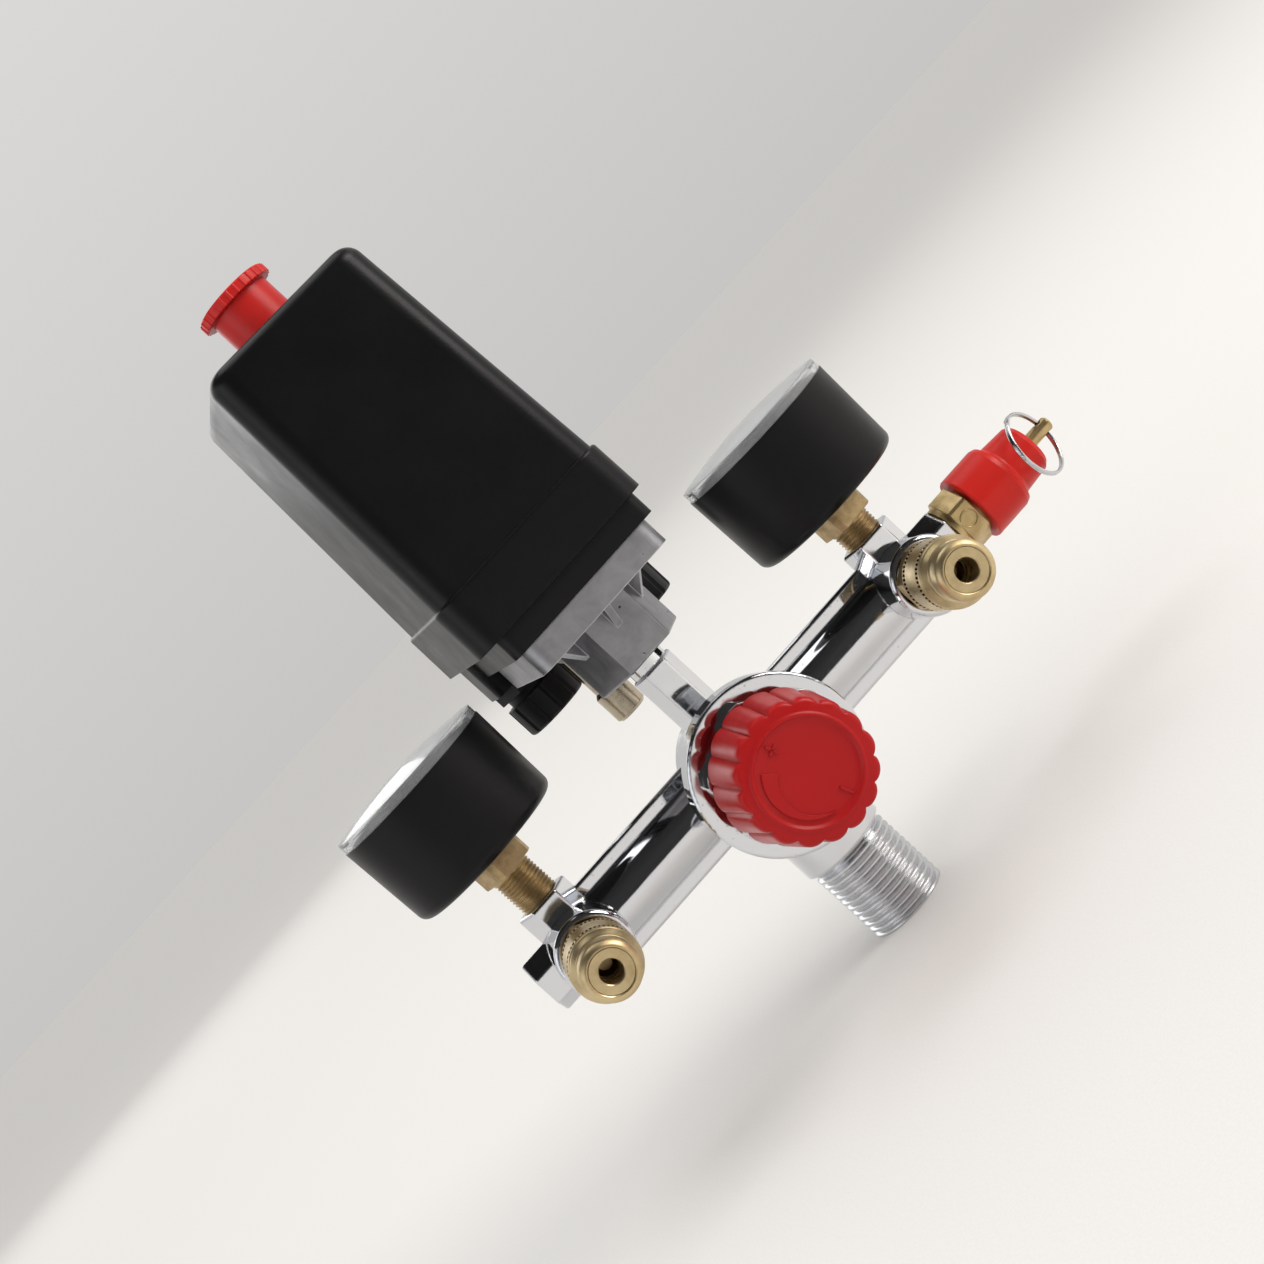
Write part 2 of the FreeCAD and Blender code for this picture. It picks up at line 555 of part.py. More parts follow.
def switch_base():
    """Black tray: a shallow front over the flange and a deeper back that holds the cable glands."""
    back_floor = GLAND_FLOOR + 4.0
    back_y = (24.3, 40.0)
    pocket_y = (back_y[0] + 2, 37.0)
    rim_x = (COVER_MID_X - 20.6, COVER_MID_X + 20.6)
    tray = joined([
        rounded_block(BASE_X, BASE_Y, (FLANGE_TOP, SKIRT_BOTTOM), 3.0),
        rounded_block((-25.0, 25.0), back_y, (GLAND_FLOOR, SKIRT_BOTTOM), 2.5),
        rounded_block((COVER_MID_X - 23.2, COVER_MID_X + 23.2), (-21.2, 38.1), (SKIRT_BOTTOM, 116), 5.0)])
    cutters = [
        rounded_block(rim_x, (-20.0, 37.0), (TRAY_FLOOR, 117), 3.0),
        bar((0, 0, FLANGE_TOP), (0, 0, FLANGE_TOP + 1.5), 15.5),
        bar((0, 0, FLANGE_TOP), (0, 0, 117), 10.0)]
    for side in SIDES.values():
        near, far = sorted((side * 8.4, side * 22.8))
        cutters += [
            block((near, far), pocket_y, (back_floor, SKIRT_BOTTOM - 1.6)),
            block((max(near, rim_x[0]), min(far, rim_x[1])), pocket_y, (back_floor, 117)),
            bar((side * GLAND_X, GLAND_Y, 99), (side * GLAND_X, GLAND_Y, back_floor + 1), GLAND_R)]
    cutters += [bar((x, y, FLANGE_TOP - 1), (x, y, TRAY_FLOOR + 1), 1.9) for x, y in flange_screw_places()]
    return without(tray, cutters)


def switch_cover():
    """Deep moulded cover with a slight draft, a wider skirt and round corners."""
    def outline(half_x, y0, y1, radius, z):
        return ((COVER_MID_X - half_x, COVER_MID_X + half_x), (y0, y1), radius, z)

    skirt = tapered_block(outline(26.3, -24.0, 41.0, 6.5, SKIRT_BOTTOM),
                          outline(26.1, -23.8, 40.8, 6.5, SKIRT_TOP))
    upper = tapered_block(outline(25.2, -23.0, 40.0, 6.0, SKIRT_TOP),
                          outline(22.6, -20.6, 37.4, 6.0, COVER_TOP))
    upper = softened(upper, 4.0, lambda edge: at_height(edge, COVER_TOP))
    skirt = softened(skirt, 0.8, lambda edge: at_height(edge, SKIRT_TOP))
    shell = joined([skirt, upper])
    wall = COVER_WALL
    hollow = tapered_block(outline(25.2 - wall + 0.7, -22.6 + 0.8, 38.8, 5.2, SKIRT_BOTTOM - 1),
                           outline(22.6 - wall, -20.6 + wall, 37.4 - wall, 5.0, COVER_TOP - wall - 0.4))
    top = COVER_TOP + 1
    holes = [bar((COVER_MID_X, BUTTON_Y, COVER_TOP - 6), (COVER_MID_X, BUTTON_Y, top), BUTTON_R + 0.08),
             bar((COVER_MID_X, POST_Y, COVER_TOP - 6), (COVER_MID_X, POST_Y, top), 2.3),
             bar((COVER_MID_X, POST_Y, COVER_TOP - 1.4), (COVER_MID_X, POST_Y, top), 4.2)]
    return without(shell, [hollow] + holes)


def on_off_button():
    """Mushroom button with a ribbed rim; its rod carries the contact bridge."""
    x = COVER_MID_X
    y = BUTTON_Y
    head = softened(bar((x, y, BUTTON_HEAD_BOTTOM), (x, y, BUTTON_TOP), BUTTON_HEAD_R - 0.25), 0.5,
                    lambda edge: len(edge.Vertexes) == 1)
    rib_r = 0.45
    ribs = []
    for i in range(BUTTON_RIBS):
        angle = 2 * math.pi * i / BUTTON_RIBS
        reach = BUTTON_HEAD_R - rib_r
        spot = (x + reach * math.cos(angle), y + reach * math.sin(angle))
        ribs.append(bar((*spot, BUTTON_HEAD_BOTTOM + 0.15), (*spot, BUTTON_TOP - 0.35), rib_r))
    shaft = bar((x, y, 183), (x, y, BUTTON_HEAD_BOTTOM + 0.5), BUTTON_R)
    hollow = bar((x, y, 182), (x, y, 199), BUTTON_R - 1.6)
    foot = block((x - 2.5, x + 2.5), (y - 7.0, y + 11.0), (181.0, 183.6))
    rod = bar((x, y + 9, 155.6), (x, y + 9, 181.0), 2.2)
    return joined([head, shaft.cut(hollow), foot, rod] + ribs)


def pressure_drive():
    """Diaphragm, plunger, lever and main spring, in their steel frame."""
    diaphragm = bar((0, 0, FLANGE_TOP), (0, 0, FLANGE_TOP + 1.5), 15.4)
    plunger = joined([bar((0, 0, 107.05), (0, 0, 110.2), 9.95), bar((0, 0, 110.2), (0, 0, 112.1), 2.2)])
    pivot = LEVER_PIVOT
    half_lever = 7.0
    lever_top = pivot.z - 1.2
    lever = joined([
        block((-half_lever, half_lever), (-15.0, pivot.y), (pivot.z - 3.0, lever_top)),
        bar((-half_lever, pivot.y, pivot.z), (half_lever, pivot.y, pivot.z), 3.0)])
    lever = lever.cut(bar((-8, pivot.y, pivot.z), (8, pivot.y, pivot.z), 1.55))
    leg_x = 13.0
    leg_y = (-9.0, 15.6)
    sheet = 1.6
    top = 150.0
    frame = joined([
        block((-leg_x - sheet, -leg_x), leg_y, (TRAY_FLOOR, top)),
        block((leg_x, leg_x + sheet), leg_y, (TRAY_FLOOR, top)),
        block((-leg_x - sheet, leg_x + sheet), (leg_y[0], 7), (top - sheet, top))])
    screw_y = -2.0
    frame = without(frame, [
        bar((0, screw_y, top - 4), (0, screw_y, top + 1), 2.5),
        bar((-20, pivot.y, pivot.z), (20, pivot.y, pivot.z), 1.5)])
    pin_half = leg_x + sheet + 0.8
    spring_cap = 142.0
    return {
        "switch_diaphragm": diaphragm,
        "pressure_plunger": plunger,
        "main_lever": lever,
        "switch_frame": frame,
        "lever_pin": bar((-pin_half, pivot.y, pivot.z), (pin_half, pivot.y, pivot.z), 1.5),
        "main_adjusting_screw": joined([bar((0, screw_y, 128), (0, screw_y, top), 2.5),
                                        prism((0, screw_y, top), (0, screw_y, top + 4), 8.0)]),
        "main_spring_nut": tube((0, screw_y, spring_cap), (0, screw_y, spring_cap + 3), 8.0, 2.5),
        "main_spring": coil((0, screw_y, lever_top + 0.05), (0, screw_y, spring_cap), 6.0, 0.9, 7),
    }


def contacts():
    """Terminal block on two legs, its screws and fixed contacts, and the bridge on the button's rod."""
    x = COVER_MID_X
    y = BUTTON_Y + 9
    bottom = 162.0
    top = 169.0
    leg_y = (y - 6, y + 3)
    left = x - 18.7
    right = x + 19.5
    terminal_block = joined([
        block((left, right), (y - 6, y + 6), (bottom, top)),
        block((left, left + 1.8), leg_y, (TRAY_FLOOR, bottom)),
        block((right - 1.8, right), leg_y, (TRAY_FLOOR, bottom))])
    terminal_block = terminal_block.cut(bar((x, y, 150), (x, y, 170), 2.6))
    screws = []
    for offset in (-12.2, -7.2, 7.2, 12.2):
        screw = bar((x + offset, y, top), (x + offset, y, top + 2.2), 2.4)
        slot = block((x + offset - 0.35, x + offset + 0.35), (y - 3, y + 3), (top + 1.4, top + 3))
        screws.append(screw.cut(slot))
    for offset in (-7.2, 7.2):
        screws.append(bar((x + offset, y, bottom - 1.2), (x + offset, y, bottom), 1.8))
    bridge_top = bottom - 1.3
    bridge = block((x - 10.2, x + 10.2), (y - 2.4, y + 2.4), (bridge_top - 1.2, bridge_top))
    return {
        "contact_block": terminal_block,
        "terminal_screws": Part.makeCompound(screws),
        "contact_bridge": bridge.cut(bar((x, y, 150), (x, y, 170), 2.2)),
    }


def cover_fixing():
    x = COVER_MID_X
    y = POST_Y
    post = prism((x, y, TRAY_FLOOR), (x, y, COVER_TOP - COVER_WALL - 0.6), 6.0)
    head_top = COVER_TOP - 0.1
    screw = joined([bar((x, y, 184.5), (x, y, COVER_TOP - 1.4), 1.8),
                    bar((x, y, COVER_TOP - 1.4), (x, y, head_top), 3.8)])
    cross = (head_top - 0.9, COVER_TOP)
    return {
        "cover_post": post.cut(bar((x, y, 184), (x, y, 195), 1.8)),
        "cover_screw": without(screw, [block((x - 2.6, x + 2.6), (y - 0.4, y + 0.4), cross),
                                       block((x - 0.4, x + 0.4), (y - 2.6, y + 2.6), cross)]),
    }


def cable_glands():
    y = GLAND_Y
    bore_r = 4.5
    bodies = []
    nuts = []
    for side in SIDES.values():
        x = side * GLAND_X
        thread = bar((x, y, 88.5), (x, y, GLAND_FLOOR + 4), GLAND_R)
        shoulder = prism((x, y, 97.4), (x, y, GLAND_FLOOR), 15.0)
        bodies.append(joined([thread, shoulder]).cut(bar((x, y, 80), (x, y, 110), bore_r)))
        nut = softened(bar((x, y, 87.3), (x, y, 95.5), 8.75), 0.9, lambda edge: at_height(edge, 87.3))
        flutes = []
        for i in range(12):
            angle = 2 * math.pi * i / 12
            spot = (x + 9.3 * math.cos(angle), y + 9.3 * math.sin(angle))
            flutes.append(bar((*spot, 80), (*spot, 100), 1.0))
        nuts.append(without(nut, flutes + [bar((x, y, 88.5), (x, y, 96), GLAND_R),
                                           bar((x, y, 80), (x, y, 90), bore_r)]))
    return {"cable_glands": Part.makeCompound(bodies), "gland_nuts": Part.makeCompound(nuts)}


def unloader_valve():
    return lathe([(2.05, 75.3), (3.6, 75.3), (4.3, 76.0), (4.3, 83.0), (3.4, 84.0), (3.4, FLANGE_BOTTOM),
                  (2.4, FLANGE_BOTTOM), (2.4, 101.5), (1.0, 101.5), (1.0, 83.0), (2.05, 83.0)],
                 (*UNLOADER_XY, 0), (0, 0, 1))


def switch_nodes():
    flange_screws = [joined([bar((x, y, 100.5), (x, y, TRAY_FLOOR), 1.9),
                             bar((x, y, TRAY_FLOOR), (x, y, TRAY_FLOOR + 2.4), 3.3)])
                     for x, y in flange_screw_places()]
    nodes = {
        "switch_flange": switch_flange(),
        "switch_base": switch_base(),
        "switch_cover": switch_cover(),
        "on_off_button": on_off_button(),
        "flange_screws": Part.makeCompound(flange_screws),
        "unloader_valve": unloader_valve(),
    }
    for group in (pressure_drive(), contacts(), cover_fixing(), cable_glands()):
        nodes.update(group)
    return nodes


def all_nodes():
    nodes = {"manifold_casting": manifold_casting()}
    nodes.update(regulator_nodes())
    shared = {}
    for name, side in SIDES.items():
        own, small_parts = coupler_nodes(name, side)
        nodes.update(own)
        nodes.update(gauge_nodes(name, side))
        for part_name, solids in small_parts.items():
            shared.setdefault(part_name, []).extend(solids)
    for part_name, solids in shared.items():
        nodes[part_name] = Part.makeCompound(solids)
    nodes.update(safety_valve_nodes())
    for name, shape in switch_nodes().items():
        nodes[name] = turned(shape, SWITCH_TURN)
    return nodes


os.makedirs("parts", exist_ok=True)
for node_name, node_shape in all_nodes().items():
    assert node_shape.isValid() and node_shape.Volume > 0, node_name
    node_shape.exportStep("parts/" + node_name + ".step")
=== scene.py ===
"""Looks of an air compressor pressure switch on its chromed manifold.

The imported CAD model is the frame. Each sub-assembly below dresses its own CAD nodes in the finishes
of the real materials, and replaces the few whose fine shape the CAD leaves plain: the fluted knob,
the knurled coupler sleeves, the threaded gauge stems, the gauge needles, the split ring and the main
spring.
Metres, in the frame of the CAD model: +Z up, -Y the front, +X towards the safety valve.
"""
import logging
import math
from dataclasses import dataclass, field
from enum import Enum
from typing import Callable, Optional, Sequence

import bmesh
import bpy
from mathutils import Matrix, Vector


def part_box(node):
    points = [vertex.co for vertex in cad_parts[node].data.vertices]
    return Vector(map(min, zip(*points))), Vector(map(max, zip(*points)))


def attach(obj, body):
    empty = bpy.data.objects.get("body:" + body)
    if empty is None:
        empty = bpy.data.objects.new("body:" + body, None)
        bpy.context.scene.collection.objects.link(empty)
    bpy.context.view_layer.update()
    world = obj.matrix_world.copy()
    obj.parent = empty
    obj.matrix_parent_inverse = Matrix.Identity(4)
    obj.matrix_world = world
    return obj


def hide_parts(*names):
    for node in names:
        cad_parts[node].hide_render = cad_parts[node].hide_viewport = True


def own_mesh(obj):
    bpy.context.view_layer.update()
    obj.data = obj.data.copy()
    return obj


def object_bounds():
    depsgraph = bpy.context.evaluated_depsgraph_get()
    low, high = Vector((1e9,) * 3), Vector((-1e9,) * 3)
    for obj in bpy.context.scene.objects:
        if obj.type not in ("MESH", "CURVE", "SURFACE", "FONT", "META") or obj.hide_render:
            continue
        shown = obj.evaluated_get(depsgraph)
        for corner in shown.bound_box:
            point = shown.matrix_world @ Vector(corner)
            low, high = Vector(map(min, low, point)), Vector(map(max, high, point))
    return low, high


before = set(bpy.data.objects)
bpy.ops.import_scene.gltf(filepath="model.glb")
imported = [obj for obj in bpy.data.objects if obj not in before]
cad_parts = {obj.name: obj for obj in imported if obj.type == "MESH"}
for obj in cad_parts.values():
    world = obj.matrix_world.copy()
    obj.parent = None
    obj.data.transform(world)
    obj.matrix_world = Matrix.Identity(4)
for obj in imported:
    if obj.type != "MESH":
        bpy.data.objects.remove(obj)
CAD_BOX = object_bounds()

MM = 0.001
TAU = math.tau

log = logging.getLogger("pressure_switch")

Point = tuple[float, float]
Shaping = Callable[[float, float, float], float]


class Side(Enum):
    """Which arm of the manifold a piece is on, looking at the front."""

    LEFT = "left"
    RIGHT = "right"


class Axis(Enum):
    """Direction of a turned piece's axis."""

    X = 0
    Y = 1
    Z = 2


# ---------------------------------------------------------------- colour and nodes

def linear(srgb_hex: str) -> tuple[float, float, float, float]:
    """Turn an sRGB hex colour into linear light.

    Args:
        srgb_hex: colour such as "#C8201C".

    Returns:
        Red, green, blue and a full alpha.
    """
    channels = []
    for start in (1, 3, 5):
        value = int(srgb_hex[start:start + 2], 16) / 255
        channels.append(value / 12.92 if value <= 0.04045 else ((value + 0.055) / 1.055) ** 2.4)
    return (*channels, 1.0)


def add_node(tree: bpy.types.NodeTree, kind: str, settings: Optional[dict] = None,
             inputs: Optional[dict] = None) -> bpy.types.ShaderNode:
    """Add one shader node.

    Args:
        tree: node tree of the material.
        kind: node type without its "ShaderNode" prefix, such as "TexNoise".
        settings: the node's own options, by attribute name.
        inputs: by socket name or number, either a value or the output socket to link from.

    Returns:
        The new node.
    """
    node = tree.nodes.new("ShaderNode" + kind)
    for name, value in (settings or {}).items():
        setattr(node, name, value)
    for name, value in (inputs or {}).items():
        if isinstance(value, bpy.types.NodeSocket):
            tree.links.new(value, node.inputs[name])
        else:
            node.inputs[name].default_value = value
    return node


# ---------------------------------------------------------------- finishes

@dataclass(frozen=True)
class Finish:
    """One material, named for what it is and how it was made."""

    name: str
    colour: str
    roughness: float
    edge_mm: float = 0.25

    def material(self) -> bpy.types.Material:
        """Make the material on first use.

        Returns:
            The material, the same one each time.
        """
        made = bpy.data.materials.get(self.name)
        if made is None:
            made = bpy.data.materials.new(self.name)
            made.use_nodes = True
            made.diffuse_color = linear(self.colour)
            shader = made.node_tree.nodes["Principled BSDF"]
            shader.inputs["Base Color"].default_value = linear(self.colour)
            shader.inputs["Roughness"].default_value = self.roughness
            self.dress(made.node_tree, shader)
        return made

    def dress(self, tree: bpy.types.NodeTree, shader: bpy.types.ShaderNode) -> None:
        """Add what this finish shows beyond a flat colour."""

    def place(self, tree: bpy.types.NodeTree) -> bpy.types.NodeSocket:
        """Return the socket that gives the place on the piece, in metres."""
        return add_node(tree, "TexCoord").outputs["Object"]

    def soft_edges(self, tree: bpy.types.NodeTree) -> bpy.types.NodeSocket:
        """Return a normal that rounds sharp edges, so that they catch the light."""
        bevel = add_node(tree, "Bevel", {"samples": 4}, {"Radius": self.edge_mm * MM})
        return bevel.outputs["Normal"]

    def worn_edges(self, tree: bpy.types.NodeTree, unworn: float = 0.995, bare: float = 0.93,
                   most: float = 0.8) -> bpy.types.NodeSocket:
        """Measure how worn a spot is, by how far a rounded normal leans away from the true one.

        Args:
            tree: node tree of the material.
            unworn: likeness of the two normals above which nothing is worn.
            bare: likeness at which the wear is greatest.
            most: the greatest share of wear.

        Returns:
            The socket with that share, nothing on a flat face and the most along its edges.
        """
        rounded = add_node(tree, "Bevel", {"samples": 8}, {"Radius": self.edge_mm * MM}).outputs["Normal"]
        flat = add_node(tree, "NewGeometry").outputs["Normal"]
        likeness = add_node(tree, "VectorMath", {"operation": "DOT_PRODUCT"}, {0: rounded, 1: flat}).outputs["Value"]
        return add_node(tree, "MapRange", None, {"Value": likeness, "From Min": unworn, "From Max": bare,
                                                 "To Max": most}).outputs["Result"]


@dataclass(frozen=True)
class ChromePlate(Finish):
    """Bright chrome on a polished zinc casting.

    It mirrors the room. The casting under it is not quite flat, so reflections waver, and small pits
    of the casting show through the plate. The cut thread keeps a duller zinc look in its grooves.
    """

    waver_mm: float = 7.0
    pit_mm: float = 0.7
    thread_top_mm: float = 0.0

    def dress(self, tree: bpy.types.NodeTree, shader: bpy.types.ShaderNode) -> None:
        """Wavering reflections, casting pits and a cloudy sheen.

        Args:
            tree: node tree of the material.
            shader: its main shader.
        """
        place = self.place(tree)
        shader.inputs["Metallic"].default_value = 1.0
        cloud = add_node(tree, "TexNoise", None, {"Vector": place, "Scale": 1 / (9 * MM), "Detail": 4.0})
        haze = add_node(tree, "MapRange", None, {"Value": cloud.outputs["Fac"], "From Min": 0.35, "From Max": 0.8,
                                                 "To Min": self.roughness * 0.6, "To Max": self.roughness * 1.7})
        rough = haze.outputs["Result"]
        if self.thread_top_mm:
            height = add_node(tree, "SeparateXYZ", None, {"Vector": place}).outputs["Z"]
            thread = add_node(tree, "MapRange", None, {
                "Value": height, "From Min": (self.thread_top_mm - 0.5) * MM, "From Max": self.thread_top_mm * MM,
                "To Min": 0.16, "To Max": 0.0})
            rough = add_node(tree, "Math", {"operation": "ADD"}, {0: rough, 1: thread.outputs["Result"]}).outputs[0]
        tree.links.new(rough, shader.inputs["Roughness"])
        swell = add_node(tree, "TexNoise", None, {"Vector": place, "Scale": 1 / (self.waver_mm * MM), "Detail": 1.0})
        pits = add_node(tree, "TexNoise", None, {"Vector": place, "Scale": 1 / (self.pit_mm * MM), "Detail": 2.0})
        sparse = add_node(tree, "MapRange", None, {"Value": pits.outputs["Fac"], "From Min": 0.2,
                                                   "From Max": 0.3})
        waved = add_node(tree, "Bump", None, {"Strength": 0.6, "Distance": 0.12 * MM, "Normal": self.soft_edges(tree),
                                              "Height": swell.outputs["Fac"]})
        pitted = add_node(tree, "Bump", None, {"Strength": 0.5, "Distance": 0.03 * MM,
                                               "Normal": waved.outputs["Normal"],
                                               "Height": sparse.outputs["Result"]})
        tree.links.new(pitted.outputs["Normal"], shader.inputs["Normal"])


@dataclass(frozen=True)
class MouldedPlastic(Finish):
    """Injection moulded plastic.

    The mould's spark-eroded skin breaks its highlights up a little. Handling leaves faint rubbed
    patches, and the colour drifts slightly over a wall.
    """

    grain_mm: float = 0.5
    grain_depth_mm: float = 0.015
    drift: float = 0.12
    sheen: float = 0.5
    glow: float = 0.0

    def dress(self, tree: bpy.types.NodeTree, shader: bpy.types.ShaderNode) -> None:
        """Mould grain, rubbed patches and colour drift.

        Args:
            tree: node tree of the material.
            shader: its main shader.
        """
        place = self.place(tree)
        patches = add_node(tree, "TexNoise", None, {"Vector": place, "Scale": 1 / (14 * MM), "Detail": 5.0,
                                                    "Roughness": 0.6})
        base = linear(self.colour)
        lighter = tuple(min(1.0, channel * (1 + self.drift) + 0.01 * self.drift) for channel in base[:3])
        darker = tuple(channel * (1 - self.drift) for channel in base[:3])
        tint = add_node(tree, "Mix", {"data_type": "RGBA"}, {"Factor": patches.outputs["Fac"], 6: (*darker, 1.0),
                                                             7: (*lighter, 1.0)})
        tree.links.new(tint.outputs[2], shader.inputs["Base Color"])
        rubbed = add_node(tree, "MapRange", None, {"Value": patches.outputs["Fac"], "From Min": 0.3, "From Max": 0.75,
                                                   "To Min": self.roughness * 1.15, "To Max": self.roughness * 0.8})
        tree.links.new(rubbed.outputs["Result"], shader.inputs["Roughness"])
        shader.inputs["Specular IOR Level"].default_value = self.sheen
        if self.glow:
            shader.inputs["Subsurface Weight"].default_value = self.glow
            shader.inputs["Subsurface Radius"].default_value = (1.2 * MM, 0.3 * MM, 0.2 * MM)
            shader.inputs["Subsurface Scale"].default_value = 1.0
        grain = add_node(tree, "TexNoise", None, {"Vector": place, "Scale": 1 / (self.grain_mm * MM), "Detail": 2.0})
        skin = add_node(tree, "Bump", None, {"Strength": 1.0, "Distance": self.grain_depth_mm * MM,
                                             "Normal": self.soft_edges(tree), "Height": grain.outputs["Fac"]})
        tree.links.new(skin.outputs["Normal"], shader.inputs["Normal"])


@dataclass(frozen=True)
class RawZincCasting(Finish):
    """Die-cast zinc as it leaves the mould.

    A dull grey skin with cloudy flow marks, a few dark pits, fine scratches from the tumbler and
    edges knocked bright.
    """

    flow_mm: float = 6.0
    pale: str = "#ACACB0"
    worn: str = "#E2E2E4"

    def dress(self, tree: bpy.types.NodeTree, shader: bpy.types.ShaderNode) -> None:
        """Flow marks, pits and scratches.

        Args:
            tree: node tree of the material.
            shader: its main shader.
        """
        place = self.place(tree)
        shader.inputs["Metallic"].default_value = 0.9
        flow = add_node(tree, "TexNoise", None, {"Vector": place, "Scale": 1 / (self.flow_mm * MM), "Detail": 6.0,
                                                 "Roughness": 0.65, "Distortion": 0.6})
        grey = add_node(tree, "ValToRGB", None, {"Fac": flow.outputs["Fac"]})
        ramp = grey.color_ramp
        ramp.elements[0].position, ramp.elements[0].color = 0.25, linear(self.colour)
        ramp.elements[1].position, ramp.elements[1].color = 0.8, linear(self.pale)
        pits = add_node(tree, "TexVoronoi", None, {"Vector": place, "Scale": 1 / (5 * MM)})
        spots = add_node(tree, "MapRange", None, {"Value": pits.outputs["Distance"], "From Min": 0.03,
                                                  "From Max": 0.08})
        stained = add_node(tree, "Mix", {"data_type": "RGBA"}, {"Factor": spots.outputs["Result"],
                                                                6: linear("#3F3F42"), 7: grey.outputs["Color"]})
        polished = add_node(tree, "Mix", {"data_type": "RGBA"}, {"Factor": self.worn_edges(tree),
                                                                 6: stained.outputs[2], 7: linear(self.worn)})
        tree.links.new(polished.outputs[2], shader.inputs["Base Color"])
        stretched = add_node(tree, "Mapping", None, {"Vector": place, "Rotation": (0.3, 0.5, 0.4),
                                                     "Scale": (1 / (0.35 * MM), 1 / (9 * MM), 1 / (9 * MM))})
        scratch = add_node(tree, "TexNoise", None, {"Vector": stretched.outputs["Vector"], "Scale": 1.0,
                                                    "Detail": 3.0})
        dulled = add_node(tree, "MapRange", None, {"Value": scratch.outputs["Fac"], "From Min": 0.3, "From Max": 0.7,
                                                   "To Min": self.roughness * 0.85, "To Max": self.roughness * 1.2})
        tree.links.new(dulled.outputs["Result"], shader.inputs["Roughness"])
        rough_skin = add_node(tree, "Bump", None, {"Strength": 0.7, "Distance": 0.06 * MM,
                                                   "Normal": self.soft_edges(tree), "Height": flow.outputs["Fac"]})
        scored = add_node(tree, "Bump", None, {"Strength": 0.4, "Distance": 0.03 * MM,
                                               "Normal": rough_skin.outputs["Normal"],
                                               "Height": scratch.outputs["Fac"]})
        sunk = add_node(tree, "Bump", None, {"Strength": 0.8, "Distance": 0.15 * MM,
                                             "Normal": scored.outputs["Normal"], "Height": spots.outputs["Result"]})
        tree.links.new(sunk.outputs["Normal"], shader.inputs["Normal"])


@dataclass(frozen=True)
class TurnedMetal(Finish):
    """Brass or steel turned on a lathe.

    The tool leaves fine rings round the axis, which stretch highlights across them. Bare brass also
    tarnishes in cloudy brown patches.
    """

    axis: Axis = Axis.Y
    ring_mm: float = 0.25
    ring_depth_mm: float = 0.006
    tarnish: str = "#8A6A3C"
    tarnish_amount: float = 0.35
    pitted: float = 0.0

    def dress(self, tree: bpy.types.NodeTree, shader: bpy.types.ShaderNode) -> None:
        """Tool rings, tarnish and, on rough stock, pits.

        Args:
            tree: node tree of the material.
            shader: its main shader.
        """
        place = self.place(tree)
        shader.inputs["Metallic"].default_value = 1.0
        clouds = add_node(tree, "TexNoise", None, {"Vector": place, "Scale": 1 / (4 * MM), "Detail": 6.0,
                                                   "Roughness": 0.62})
        patchy = add_node(tree, "MapRange", None, {"Value": clouds.outputs["Fac"], "From Min": 0.45, "From Max": 0.75,
                                                   "To Max": self.tarnish_amount})
        tint = add_node(tree, "Mix", {"data_type": "RGBA"}, {"Factor": patchy.outputs["Result"],
                                                             6: linear(self.colour), 7: linear(self.tarnish)})
        tree.links.new(tint.outputs[2], shader.inputs["Base Color"])
        dulled = add_node(tree, "MapRange", None, {"Value": clouds.outputs["Fac"], "From Min": 0.3, "From Max": 0.75,
                                                   "To Min": self.roughness * 0.8, "To Max": self.roughness * 1.5})
        tree.links.new(dulled.outputs["Result"], shader.inputs["Roughness"])
        along = [1 / (40 * MM)] * 3
        along[self.axis.value] = 1 / (self.ring_mm * MM)
        stretched = add_node(tree, "Mapping", None, {"Vector": place, "Scale": tuple(along)})
        rings = add_node(tree, "TexNoise", None, {"Vector": stretched.outputs["Vector"], "Scale": 1.0, "Detail": 2.0})
        turned = add_node(tree, "Bump", None, {"Strength": 1.0, "Distance": self.ring_depth_mm * MM,
                                               "Normal": self.soft_edges(tree), "Height": rings.outputs["Fac"]})
        normal = turned.outputs["Normal"]
        if self.pitted:
            grit = add_node(tree, "TexNoise", None, {"Vector": place, "Scale": 1 / (0.8 * MM), "Detail": 4.0})
            normal = add_node(tree, "Bump", None, {"Strength": self.pitted, "Distance": 0.12 * MM, "Normal": normal,
                                                   "Height": grit.outputs["Fac"]}).outputs["Normal"]
        tree.links.new(normal, shader.inputs["Normal"])


@dataclass(frozen=True)
class ClearAcrylic(Finish):
    """Moulded clear acrylic: see-through, with bright rims where light runs inside the wall."""

    def dress(self, tree: bpy.types.NodeTree, shader: bpy.types.ShaderNode) -> None:
        """Let light through, with the faint swell of a moulded lens.

        Args:
            tree: node tree of the material.
            shader: its main shader.
        """
        shader.inputs["Transmission Weight"].default_value = 0.9
        shader.inputs["IOR"].default_value = 1.49
        swell = add_node(tree, "TexNoise", None, {"Vector": self.place(tree), "Scale": 1 / (12 * MM), "Detail": 1.0})
        bump = add_node(tree, "Bump", None, {"Strength": 0.3, "Distance": 0.05 * MM, "Height": swell.outputs["Fac"]})
        tree.links.new(bump.outputs["Normal"], shader.inputs["Normal"])


